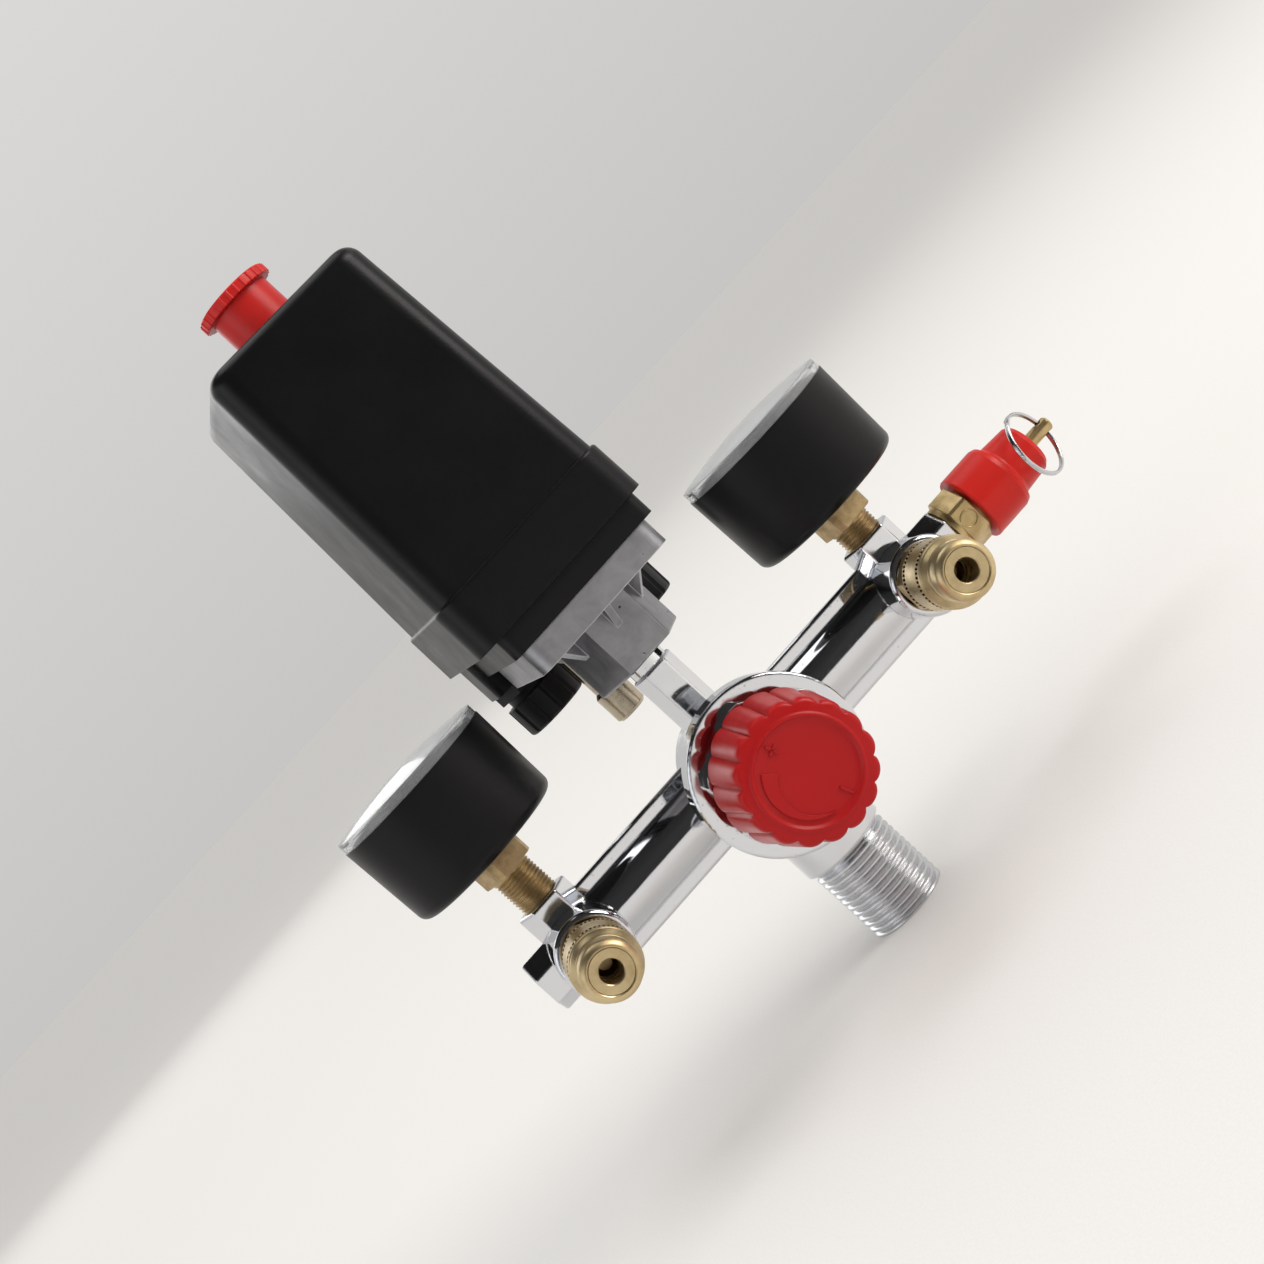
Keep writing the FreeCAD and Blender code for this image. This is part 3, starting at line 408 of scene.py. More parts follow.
@dataclass(frozen=True)
class PaintedSheet(Finish):
    """Stove enamel, ink, paper or cloth: even, with a faint orange-peel."""

    def dress(self, tree: bpy.types.NodeTree, shader: bpy.types.ShaderNode) -> None:
        """A fine orange-peel surface with a slight change of tone.

        Args:
            tree: node tree of the material.
            shader: its main shader.
        """
        place = self.place(tree)
        peel = add_node(tree, "TexNoise", None, {"Vector": place, "Scale": 1 / (0.6 * MM), "Detail": 2.0})
        base = linear(self.colour)
        worn = add_node(tree, "Mix", {"data_type": "RGBA"}, {
            "Factor": peel.outputs["Fac"], 6: base, 7: (*[channel * 0.9 for channel in base[:3]], 1.0)})
        tree.links.new(worn.outputs[2], shader.inputs["Base Color"])
        bump = add_node(tree, "Bump", None, {"Strength": 0.4, "Distance": 0.01 * MM, "Height": peel.outputs["Fac"]})
        tree.links.new(bump.outputs["Normal"], shader.inputs["Normal"])


# Chrome: mirror bright, neutral grey.
CASTING_CHROME = ChromePlate("chrome_plated_zinc_casting", "#D9DADD", 0.07, edge_mm=0.5, thread_top_mm=21.0)
BONNET_CHROME = ChromePlate("chrome_plated_hex_bonnet", "#D3D4D8", 0.09, edge_mm=0.3, waver_mm=5.0)
# Polypropylene and ABS in signal red: glossy, with light sinking a little way in.
KNOB_RED = MouldedPlastic("moulded_red_abs_knob", "#A80C0E", 0.34, sheen=0.24, edge_mm=0.3, grain_mm=1.2, glow=0.1,
                          drift=0.06)
BUTTON_RED = MouldedPlastic("moulded_red_abs_button", "#C81A15", 0.33, sheen=0.32, edge_mm=0.2, grain_mm=1.0, glow=0.1)
CAP_RED = MouldedPlastic("moulded_red_polypropylene_cap", "#C01A10", 0.36, sheen=0.26, edge_mm=0.3, grain_mm=1.0,
                         glow=0.15)
# Black ABS housings: satin, so large soft highlights roll over the corners.
COVER_BLACK = MouldedPlastic("moulded_black_abs_cover", "#0B0B0D", 0.34, sheen=0.24, edge_mm=0.4, grain_mm=0.45,
                             grain_depth_mm=0.02, drift=0.2)
BASE_BLACK = MouldedPlastic("moulded_black_abs_base", "#0A0A0C", 0.38, sheen=0.24, edge_mm=0.3, grain_mm=0.6, drift=0.2)
GAUGE_BLACK = MouldedPlastic("moulded_black_abs_gauge_case", "#08080A", 0.36, sheen=0.2, edge_mm=0.3, grain_mm=0.5,
                             drift=0.2)
NYLON_BLACK = MouldedPlastic("moulded_black_nylon_gland", "#0E0E10", 0.5, sheen=0.35, edge_mm=0.25, grain_mm=0.8,
                             drift=0.2)
ACETAL_WHITE = MouldedPlastic("moulded_white_acetal", "#DAD8CF", 0.45, grain_mm=0.8, drift=0.05)
NITRILE = MouldedPlastic("moulded_nitrile_rubber", "#1A1A1B", 0.7, grain_mm=0.4, drift=0.2)
# Zinc alloy straight from the die: dull and cloudy.
FLANGE_ZINC = RawZincCasting("die_cast_zinc_flange", "#8E8E92", 0.38, edge_mm=0.4)
# Brass: pale gold where polished, brown where it has been handled or left rough.
COUPLER_BRASS = TurnedMetal("turned_brass_coupler", "#D3BE93", 0.36, axis=Axis.Y, tarnish="#A58A5C",
                            tarnish_amount=0.4, ring_depth_mm=0.012)
# Painted shade: near-black brown brass for the floors of the notches between the sleeve's teeth.
SHADE_PAINTED_BRASS = TurnedMetal("brass_with_painted_shade_between_teeth", "#4A3A22", 0.55, axis=Axis.Y, tarnish="#2A2014",
                          tarnish_amount=0.6)
VALVE_BRASS = TurnedMetal("turned_brass_safety_valve", "#C6AE7E", 0.32, axis=Axis.X, tarnish_amount=0.5)
STEM_BRASS = TurnedMetal("rough_turned_brass_stem", "#B7A078", 0.38, axis=Axis.Z, tarnish="#7E6340",
                         tarnish_amount=0.65, pitted=0.6)
UNLOADER_BRASS = TurnedMetal("nickel_plated_brass_unloader", "#B9AE9A", 0.22, axis=Axis.Z, tarnish_amount=0.15)
# Steels: springs and the ring are drawn wire, the rest is bright zinc plate.
WIRE_STEEL = TurnedMetal("drawn_nickel_plated_wire", "#CFCFD2", 0.18, axis=Axis.Z, tarnish="#8B8B8F",
                         ring_mm=0.6, tarnish_amount=0.3)
BALL_STEEL = TurnedMetal("ground_bearing_steel", "#D6D6D9", 0.1, axis=Axis.Y, tarnish="#A0A0A4", tarnish_amount=0.1)
PLATED_STEEL = TurnedMetal("bright_zinc_plated_steel", "#BFC3C8", 0.28, axis=Axis.Z, tarnish="#9A9788",
                           tarnish_amount=0.35)
COPPER = TurnedMetal("stamped_copper_contact", "#C98A62", 0.3, axis=Axis.X, tarnish="#7E4A32", tarnish_amount=0.4)
LENS_CLEAR = ClearAcrylic("moulded_clear_acrylic_lens", "#F6F8FA", 0.07)
DIAL_WHITE = PaintedSheet("white_enamel_dial", "#EDECE6", 0.4)
PRINT_BLACK = PaintedSheet("black_printing_ink", "#17171A", 0.5)
PRINT_RED = PaintedSheet("red_printing_ink", "#B3201C", 0.5)
NEEDLE_BLACK = PaintedSheet("black_painted_needle", "#111113", 0.4)


def dress_nodes(finish: Finish, *nodes: str) -> None:
    """Give CAD nodes a finish.

    Args:
        finish: what the nodes are made of.
        nodes: names of the CAD nodes.
    """
    for name in nodes:
        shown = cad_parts[name]
        if not shown.material_slots:
            shown.data.materials.append(finish.material())
        for holder in shown.material_slots:
            holder.material = finish.material()
        log.info("node %s: %s", name, finish.name)


# ---------------------------------------------------------------- mesh making

def polar(radius: float, angle: float) -> Point:
    """Return the flat point at a radius and an angle in radians."""
    return radius * math.cos(angle), radius * math.sin(angle)


def facing_front(node: str) -> Matrix:
    """Return the placement at the back of a CAD node, with local Z along its axis to the front."""
    middle = centre_of(node)
    return Matrix.Translation((middle.x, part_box(node)[1][1], middle.z)) @ Matrix.Rotation(math.pi / 2, 4, "X")


def turned_shell(profile: Sequence[Point], steps: int, placement: Matrix,
                 shaping: Optional[Shaping] = None) -> bmesh.types.BMesh:
    """Turn a closed outline about an axis.

    Args:
        profile: (radius, distance along the axis) points, in metres and in order.
        steps: how many points go round.
        placement: puts the turned shape in place; its local Z is the axis.
        shaping: gives the true radius from (radius, distance along, angle), for flutes and threads.

    Returns:
        The closed shell.
    """
    shell = bmesh.new()
    rings = []
    for radius, along in profile:
        ring = []
        for i in range(steps if radius > 0 else 1):
            angle = TAU * i / steps
            reach = shaping(radius, along, angle) if shaping and radius > 0 else radius
            ring.append(shell.verts.new(placement @ Vector((*polar(reach, angle), along))))
        rings.append(ring)
    for first, second in zip(rings, rings[1:] + rings[:1]):
        if len(first) == 1 and len(second) == 1:
            continue
        for i in range(steps):
            j = (i + 1) % steps
            corners = (first[i % len(first)], first[j % len(first)],
                       second[j % len(second)], second[i % len(second)])
            shell.faces.new(tuple(dict.fromkeys(corners)))
    bmesh.ops.recalc_face_normals(shell, faces=shell.faces)
    return shell


def plate(outline: Sequence[Point], low: float, high: float, placement: Matrix) -> bmesh.types.BMesh:
    """Raise a flat outline into a plate.

    Args:
        outline: corners in order, in metres.
        low: height of the plate's underside.
        high: height of its top.
        placement: puts the plate in place; its local Z is the height.

    Returns:
        The closed plate.
    """
    solid = bmesh.new()
    levels = [[solid.verts.new(placement @ Vector((x, y, height))) for x, y in outline] for height in (low, high)]
    solid.faces.new(levels[0])
    solid.faces.new(levels[1])
    count = len(outline)
    for i in range(count):
        j = (i + 1) % count
        solid.faces.new((levels[0][i], levels[0][j], levels[1][j], levels[1][i]))
    bmesh.ops.recalc_face_normals(solid, faces=solid.faces)
    return solid


def swept_wire(path: Sequence[Vector], radius: float, sides: int) -> bmesh.types.BMesh:
    """Run a round wire along a path, with flat ends.

    Args:
        path: points on the wire's middle line.
        radius: the wire's radius.
        sides: how many points go round the wire.

    Returns:
        The closed wire.
    """
    wire = bmesh.new()
    rings = []
    side = Vector((0, 0, 1))
    for i, centre in enumerate(path):
        ahead = (path[min(i + 1, len(path) - 1)] - path[max(i - 1, 0)]).normalized()
        side = (side - ahead * side.dot(ahead)).normalized()
        across = ahead.cross(side)
        ring = []
        for k in range(sides):
            angle = TAU * k / sides
            ring.append(wire.verts.new(centre + (side * math.cos(angle) + across * math.sin(angle)) * radius))
        rings.append(ring)
    for first, second in zip(rings, rings[1:]):
        for k in range(sides):
            j = (k + 1) % sides
            wire.faces.new((first[k], first[j], second[j], second[k]))
    wire.faces.new(list(reversed(rings[0])))
    wire.faces.new(rings[-1])
    bmesh.ops.recalc_face_normals(wire, faces=wire.faces)
    return wire


def merged(shells: Sequence[bmesh.types.BMesh]) -> bmesh.types.BMesh:
    """Put several shells into one mesh.

    Args:
        shells: the shells, which are freed.

    Returns:
        The one mesh.
    """
    whole = bmesh.new()
    for shell in shells:
        carrier = bpy.data.meshes.new("carrier")
        shell.to_mesh(carrier)
        whole.from_mesh(carrier)
        bpy.data.meshes.remove(carrier)
        shell.free()
    return whole


def link_mesh(name: str, shell: bmesh.types.BMesh, finish: Finish) -> bpy.types.Object:
    """Turn a shell into an object in the scene.

    Args:
        name: the object's name.
        shell: its shape, which is freed.
        finish: what it is made of.

    Returns:
        The object.
    """
    mesh = bpy.data.meshes.new(name)
    shell.to_mesh(mesh)
    shell.free()
    mesh.materials.append(finish.material())
    made = bpy.data.objects.new(name, mesh)
    bpy.context.scene.collection.objects.link(made)
    return made


def place_piece(name: str, shell: bmesh.types.BMesh, finish: Finish, body: str,
                crease_deg: float = 35.0) -> bpy.types.Object:
    """Turn a shell into a shown piece that moves with a CAD body.

    Args:
        name: the piece's name.
        shell: its shape, which is freed.
        finish: what it is made of.
        body: the CAD body it moves with.
        crease_deg: edges sharper than this stay sharp.

    Returns:
        The piece.
    """
    piece = link_mesh(name, shell, finish)
    piece.data.shade_smooth()
    piece.data.set_sharp_from_angle(angle=math.radians(crease_deg))
    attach(piece, body)
    log.info("piece %s: %s, rides on %s", name, finish.name, body)
    return piece


def centre_of(node: str) -> Vector:
    """Return the middle of a CAD node's box."""
    low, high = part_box(node)
    return (Vector(low) + Vector(high)) / 2


# ---------------------------------------------------------------- sub-assemblies

@dataclass
class Manifold:
    """Chromed casting: tank thread, arms, coupler and gauge ports, regulator body and neck."""

    def build(self) -> None:
        """Dress the casting."""
        dress_nodes(CASTING_CHROME, "manifold_casting")


@dataclass
class Regulator:
    """Pressure regulator: hexagonal bonnet, fluted knob and the parts that set the pressure."""

    lobes: int = 16
    lobe_depth: float = 1.0 * MM
    back_radius: float = 16.6 * MM
    front_radius: float = 15.0 * MM
    ring_radius: float = 11.4 * MM
    dish: float = 0.9 * MM
    mark_height: float = 0.45 * MM
    mark_lean: float = -71.0
    steps_per_lobe: int = 12

    def build(self) -> None:
        """Make the knob and its marks, and dress the other parts."""
        dress_nodes(BONNET_CHROME, "regulator_bonnet")
        dress_nodes(PLATED_STEEL, "adjusting_screw", "nut_plate", "diaphragm_plate")
        dress_nodes(NITRILE, "regulator_diaphragm")
        dress_nodes(WIRE_STEEL, "regulator_spring", "poppet_spring")
        dress_nodes(COUPLER_BRASS, "regulator_valve_seat", "regulator_poppet")
        low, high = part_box("regulator_knob")
        depth = high[1] - low[1]
        placement = facing_front("regulator_knob")
        knob = place_piece("fluted_knob", self.knob(depth, placement), KNOB_RED, "knob", crease_deg=50)
        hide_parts("regulator_knob")
        marks = place_piece("knob_marks", self.marks(depth, placement), KNOB_RED, "knob")

    def knob(self, depth: float, placement: Matrix) -> bmesh.types.BMesh:
        """Fluted knob with a hollow back.

        Args:
            depth: from its back rim to its front.
            placement: local Z points out of its face.

        Returns:
            The knob's shell.
        """
        rim = self.front_radius
        face = depth - self.dish
        ring = self.ring_radius
        profile = [(0, face), (9.5 * MM, face + 0.08 * MM),
                   (ring - 0.9 * MM, face + 0.15 * MM), (ring - 0.5 * MM, face + 0.35 * MM),
                   (ring - 0.2 * MM, depth - 0.08 * MM), (ring, depth), (ring + 0.3 * MM, depth - 0.05 * MM),
                   (ring + 0.6 * MM, depth - 0.35 * MM), (ring + 0.9 * MM, depth - 0.5 * MM),
                   (rim - 1.6 * MM, depth - 0.5 * MM), (rim - 0.8 * MM, depth - 0.65 * MM),
                   (rim - 0.25 * MM, depth - 1.1 * MM), (rim, depth - 1.9 * MM)]
        flare_steps = 8
        for i in range(1, flare_steps + 1):
            share = i / flare_steps
            profile.append((rim + (self.back_radius - rim) * share, (depth - 1.9 * MM) * (1 - share)))
        cavity = 10.5 * MM
        hub = 5.6 * MM
        floor = depth - 4 * MM
        profile += [(cavity + 0.6 * MM, 0), (cavity, 0.5 * MM), (cavity, floor), (hub, floor), (hub, 4.2 * MM),
                    (0, 4.2 * MM)]
        return turned_shell(profile, self.lobes * self.steps_per_lobe, placement, self.lobed(depth))

    def lobed(self, depth: float) -> Shaping:
        """Plan the flutes of the knob's side and front rim.

        Args:
            depth: from the knob's back rim to its front.

        Returns:
            The shaping that cuts them.
        """
        run_in = 1.2 * MM

        def shaping(radius: float, along: float, angle: float) -> float:
            """Cut a narrow groove between round lobes, deeper towards the front.

            Args:
                radius: radius before the cut.
                along: distance from the back rim.
                angle: angle round the axis.

            Returns:
                The radius after the cut.
            """
            if radius < self.front_radius - run_in or along < 0:
                return radius
            hump = abs(math.cos(angle * self.lobes / 2)) ** 0.5
            front = min(1.0, max(0.0, (radius - self.front_radius + run_in) / MM))
            notch = self.lobe_depth * (0.8 + 0.5 * along / depth) * front
            return radius - notch * (1 - hump)
        return shaping

    def marks(self, depth: float, placement: Matrix) -> bmesh.types.BMesh:
        """Raised plus and minus, and the wedge that narrows from one to the other.

        Args:
            depth: from the knob's back rim to its front.
            placement: local Z points out of its face.

        Returns:
            The marks in one mesh.
        """
        low = depth - self.dish - 0.2 * MM
        high = depth - self.dish + self.mark_height
        half, thick = 1.55 * MM, 0.26 * MM

        def stroke(reach: float, at_deg: float, half_length: float, lean: float) -> bmesh.types.BMesh:
            """Make one straight stroke.

            Args:
                reach: distance of its middle from the axis.
                at_deg: where its middle is round the axis.
                half_length: half its length.
                lean: its angle in degrees.

            Returns:
                The stroke.
            """
            spot = placement @ Matrix.Translation((*polar(reach, math.radians(at_deg)), 0))
            spot = spot @ Matrix.Rotation(math.radians(lean), 4, "Z")
            corners = [(-half_length, -thick), (half_length, -thick), (half_length, thick), (-half_length, thick)]
            return plate(corners, low, high, spot)

        plus_at, minus_at = 101.0, -72.0
        shells = [stroke(8.5 * MM, plus_at, half, self.mark_lean), stroke(8.6 * MM, minus_at, half, self.mark_lean),
                  stroke(8.5 * MM, plus_at, 0.8 * half, self.mark_lean + 90)]
        outer, inner = [], []
        start, end, pieces = 134.0, 259.0, 30
        for i in range(pieces + 1):
            share = i / pieces
            angle = math.radians(start + (end - start) * share)
            outer.append(polar(9.5 * MM, angle))
            inner.append(polar((5.9 + 3.5 * share) * MM, angle))
        shells.append(plate(outer + inner[::-1], low, high, placement))
        return merged(shells)


@dataclass
class QuickCoupler:
    """Brass quick coupler: body, knurled sleeve, locking balls, plug seal and valve."""

    side: Side
    sleeve_radius: float = 8.1 * MM
    nose_radius: float = 6.7 * MM
    bore_radius: float = 4.95 * MM
    spring_room: float = 6.9 * MM
    teeth: int = 52
    tooth_depth: float = 0.85 * MM
    tooth_band: float = 1.5 * MM
    bands: tuple[float, float] = (0.9 * MM, 10.9 * MM)
    steps_per_tooth: int = 8
    gap_level: float = 0.62
    gap_slope: float = 0.24
    # Painted shade in the notches: the share of the tooth depth left bare at the top, and how far past each band it
    # reaches.
    shade_clearance: float = 0.3
    shade_spread: float = 0.2 * MM

    def build(self) -> None:
        """Make the knurled sleeve and dress the other parts."""
        name = self.side.value
        dress_nodes(COUPLER_BRASS, "coupler_body_" + name, "coupler_valve_" + name)
        low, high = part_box("coupler_sleeve_" + name)
        placement = facing_front("coupler_sleeve_" + name)
        shell = self.sleeve(high[1] - low[1], placement)
        self.paint_notch_shade(shell, placement.translation)
        sleeve = place_piece("knurled_sleeve_" + name, shell, COUPLER_BRASS, "sleeve_" + name, crease_deg=25)
        # The notch floors take a second, dark brass: painted shade between the teeth.
        sleeve.data.materials.append(SHADE_PAINTED_BRASS.material())
        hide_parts("coupler_sleeve_" + name)

    def paint_notch_shade(self, shell: bmesh.types.BMesh, back: Vector) -> None:
        """Paint shade on the floors of the notches between teeth, with the second, dark brass finish.

        Args:
            shell: the sleeve.
            back: where the sleeve's axis meets its back edge.
        """
        edge = self.sleeve_radius - self.shade_clearance * self.tooth_depth
        spread = self.shade_spread
        for face in shell.faces:
            middle = face.calc_center_median() - back
            along = -middle.y
            banded = any(band - spread < along < band + self.tooth_band + spread for band in self.bands)
            if banded and self.nose_radius < math.hypot(middle.x, middle.z) < edge:
                face.material_index = 1

    def sleeve(self, length: float, placement: Matrix) -> bmesh.types.BMesh:
        """Sleeve with two bands of milled teeth, a tapered waist and a recessed nose.

        Args:
            length: from its back edge to its nose.
            placement: local Z points towards the nose.

        Returns:
            The sleeve's shell.
        """
        body = self.sleeve_radius
        nose = self.nose_radius
        profile = [(self.spring_room, 0), (body - 0.5 * MM, 0), (body - 0.1 * MM, 0.2 * MM), (body, 0.4 * MM)]
        edge = 0.12 * MM
        for band in self.bands:
            profile += [(body, band - edge), (body, band), (body, band + self.tooth_band / 2),
                        (body, band + self.tooth_band), (body, band + self.tooth_band + edge)]
        waist = nose + 0.1 * MM
        profile += [(body - 0.1 * MM, 13.2 * MM), (body - 0.35 * MM, 13.5 * MM), (body - 0.35 * MM, 13.8 * MM),
                    (body - 0.5 * MM, 14.2 * MM), (waist + 0.25 * MM, 15.0 * MM), (waist, 15.5 * MM),
                    (waist, length - 5.6 * MM), (nose - 0.25 * MM, length - 5.4 * MM),
                    (nose - 0.25 * MM, length - 5.0 * MM), (nose, length - 4.8 * MM), (nose, length - 1.6 * MM),
                    (nose - 0.12 * MM, length - 1.15 * MM), (nose - 0.45 * MM, length - 0.65 * MM),
                    (5.7 * MM, length - 0.2 * MM), (5.4 * MM, length - 0.03 * MM), (5.2 * MM, length),
                    (self.bore_radius, length - 0.2 * MM), (self.bore_radius, 13.6 * MM), (self.spring_room, 13.6 * MM)]

        def milled(radius: float, along: float, angle: float) -> float:
            """Cut the teeth of the two bands.

            Args:
                radius: radius before the cut.
                along: distance from the back edge.
                angle: angle round the axis.

            Returns:
                The radius after the cut.
            """
            slack = 0.01 * MM
            for band in self.bands:
                if band - slack < along < band + self.tooth_band + slack and radius > nose:
                    wave = 0.5 + 0.5 * math.cos(angle * self.teeth)
                    gap = min(1.0, max(0.0, (self.gap_level - wave) / self.gap_slope))
                    return radius - self.tooth_depth * gap
            return radius

        return turned_shell(profile, self.teeth * self.steps_per_tooth, placement, milled)


@dataclass
class Gauge:
    """Dial gauge on a brass stem, facing up."""

    side: Side
    stem_turn_deg: float
    square: float = 11.0 * MM
    square_height: float = 6.1 * MM
    stem_bore: float = 1.6 * MM
    shank_radius: float = 4.9 * MM
    thread_radius: float = 5.1 * MM
    thread_pitch: float = 0.907 * MM
    thread_depth: float = 0.5 * MM
    scale_radius: float = 17.2 * MM
    arc_shares: tuple[float, float] = (0.55, 0.53)
    zero_deg: float = 225.0
    sweep_deg: float = 270.0
    numerals: int = 6
    numeral_step: int = 2

    def build(self) -> None:
        """Make the stem, the dial's print and the needle, and dress the rest."""
        name = self.side.value
        dress_nodes(GAUGE_BLACK, "gauge_case_" + name)
        dress_nodes(LENS_CLEAR, "gauge_lens_" + name)
        dress_nodes(DIAL_WHITE, "gauge_dial_" + name)
        dress_nodes(STEM_BRASS, "gauge_movement_" + name)
        self.add_stem()
        self.add_print()
        self.add_needle()

    def add_stem(self) -> None:
        """Brass stem: a chamfered square over a cut thread."""
        name = self.side.value
        low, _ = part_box("gauge_stem_" + name)
        case_low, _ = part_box("gauge_case_" + name)
        axis = centre_of("gauge_dial_" + name)
        bottom = low[2]
        square_low = case_low[2] - self.square_height
        half = self.square / 2
        cut = 1.3 * MM
        outline = [(half - cut, -half), (half, -half + cut), (half, half - cut), (half - cut, half),
                   (cut - half, half), (-half, half - cut), (-half, cut - half), (cut - half, -half)]
        upright = Matrix.Translation((axis.x, axis.y, 0))
        turned = upright @ Matrix.Rotation(math.radians(self.stem_turn_deg), 4, "Z")
        block = plate(outline, square_low, case_low[2] - 0.02 * MM, turned)
        rims = [edge for edge in block.edges if abs(edge.verts[0].co.z - edge.verts[1].co.z) < 1e-6]
        bmesh.ops.bevel(block, geom=rims, offset=0.35 * MM, segments=2, profile=0.6, affect="EDGES")
        steps_per_turn = 8
        rows = int((square_low - bottom) / self.thread_pitch * steps_per_turn)
        radius = self.thread_radius
        profile = [(self.stem_bore, bottom), (radius - 0.7 * MM, bottom)]
        for i in range(rows + 1):
            share = i / rows
            profile.append((radius, bottom + 0.3 * MM + (square_low - bottom - 0.3 * MM) * share))
        profile.append((self.stem_bore, square_low))

        def thread(reach: float, along: float, angle: float) -> float:
            """Cut a helical thread that fades out at the square.

            Args:
                reach: radius before the cut.
                along: height in the frame of the CAD model.
                angle: angle round the axis.

            Returns:
                The radius after the cut.
            """
            if reach < radius:
                return reach
            phase = (along / self.thread_pitch - angle / TAU) % 1.0
            fade = min(1.0, max(0.0, (square_low - along) / (0.8 * self.thread_pitch)))
            return reach - self.thread_depth * abs(2 * phase - 1) * fade

        screw = turned_shell(profile, 48, upright, thread)
        foot, head = case_low[2] - 0.1 * MM, case_low[2] + 5.9 * MM
        shank = turned_shell([(self.stem_bore, foot), (self.shank_radius, foot),
                              (self.shank_radius, head), (self.stem_bore, head)], 48, upright)
        stem = place_piece("threaded_stem_" + name, merged([block, screw, shank]), STEM_BRASS, "unit",
                           crease_deg=30)
        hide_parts("gauge_stem_" + name)

    def add_print(self) -> None:
        """Scale marks and numerals printed on the dial."""
        name = self.side.value
        _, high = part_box("gauge_dial_" + name)
        axis = centre_of("gauge_dial_" + name)
        top = Matrix.Translation((axis.x, axis.y, high[2]))
        ink = 0.04 * MM
        ticks = []
        parts = (self.numerals - 1) * 10
        for i in range(parts + 1):
            turn = math.radians(self.zero_deg - self.sweep_deg * i / parts)
            long_tick = i % 10 == 0
            length = (2.6 if long_tick else 1.9 if i % 5 == 0 else 1.2) * MM
            half = (0.22 if long_tick else 0.09) * MM
            spot = top @ Matrix.Rotation(turn, 4, "Z")
            outer = self.scale_radius
            ticks.append(plate([(outer - length, -half), (outer, -half), (outer, half), (outer - length, half)],
                               0.0, ink, spot))
        for i in range(self.numerals):
            angle = math.radians(self.zero_deg - self.sweep_deg * i / (self.numerals - 1))
            spot = top @ Matrix.Translation((*polar(self.scale_radius - 5.2 * MM, angle), 0))
            ticks.append(self.numeral(str(i * self.numeral_step), 3.6 * MM, ink, spot))
        scale = place_piece("dial_scale_" + name, merged(ticks), PRINT_BLACK, "unit")
        pieces = 60
        turns = [math.radians(self.zero_deg - self.sweep_deg * i / pieces) for i in range(pieces + 1)]
        arc, inside = [[polar(self.scale_radius * share, turn) for turn in turns] for share in self.arc_shares]
        band = place_piece("dial_arc_" + name, plate(arc + inside[::-1], 0.0, ink, top), PRINT_RED, "unit")

    def numeral(self, text: str, size: float, thick: float, spot: Matrix) -> bmesh.types.BMesh:
        """One printed numeral.

        Args:
            text: the number.
            size: height of its type.
            thick: thickness of the ink.
            spot: where its middle goes.

        Returns:
            The numeral's mesh.
        """
        curve = bpy.data.curves.new("numeral", "FONT")
        curve.body = text
        curve.size = size
        curve.extrude = thick / 2
        curve.align_x = "CENTER"
        curve.align_y = "CENTER"
        carrier = bpy.data.objects.new("numeral", curve)
        mesh = bpy.data.meshes.new_from_object(carrier)
        shell = bmesh.new()
        shell.from_mesh(mesh)
        bmesh.ops.transform(shell, matrix=spot @ Matrix.Translation((0, 0, thick / 2)), verts=shell.verts)
        bpy.data.objects.remove(carrier)
        bpy.data.curves.remove(curve)
        bpy.data.meshes.remove(mesh)
        return shell

    def add_needle(self) -> None:
        """Tapered needle with a counterweight and a domed hub."""
        name = self.side.value
        _, dial_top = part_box("gauge_dial_" + name)
        low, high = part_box("gauge_needle_" + name)
        axis = centre_of("gauge_dial_" + name)
        lift = dial_top[2] + 0.95 * MM
        turned = Matrix.Translation((axis.x, axis.y, 0)) @ Matrix.Rotation(math.radians(self.zero_deg), 4, "Z")
        outline = [(-5.0 * MM, -1.1 * MM), (-4.2 * MM, -1.2 * MM), (0, -0.6 * MM), (14.9 * MM, -0.14 * MM),
                   (15.3 * MM, 0), (14.9 * MM, 0.14 * MM), (0, 0.6 * MM), (-4.2 * MM, 1.2 * MM), (-5.0 * MM, 1.1 * MM)]
        blade = plate(outline, lift, lift + 0.35 * MM, turned)
        upright = Matrix.Translation((axis.x, axis.y, 0))
        top = high[2]
        hub = turned_shell([(0, low[2]), (0.55 * MM, low[2]), (0.55 * MM, lift - 0.1 * MM),
                            (2.0 * MM, lift - 0.1 * MM), (2.2 * MM, lift + 0.1 * MM), (2.1 * MM, top - 0.45 * MM),
                            (1.5 * MM, top - 0.12 * MM), (0, top)], 36, upright)
        needle = place_piece("pointer_" + name, merged([blade, hub]), NEEDLE_BLACK, "needle_" + name)
        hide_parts("gauge_needle_" + name)


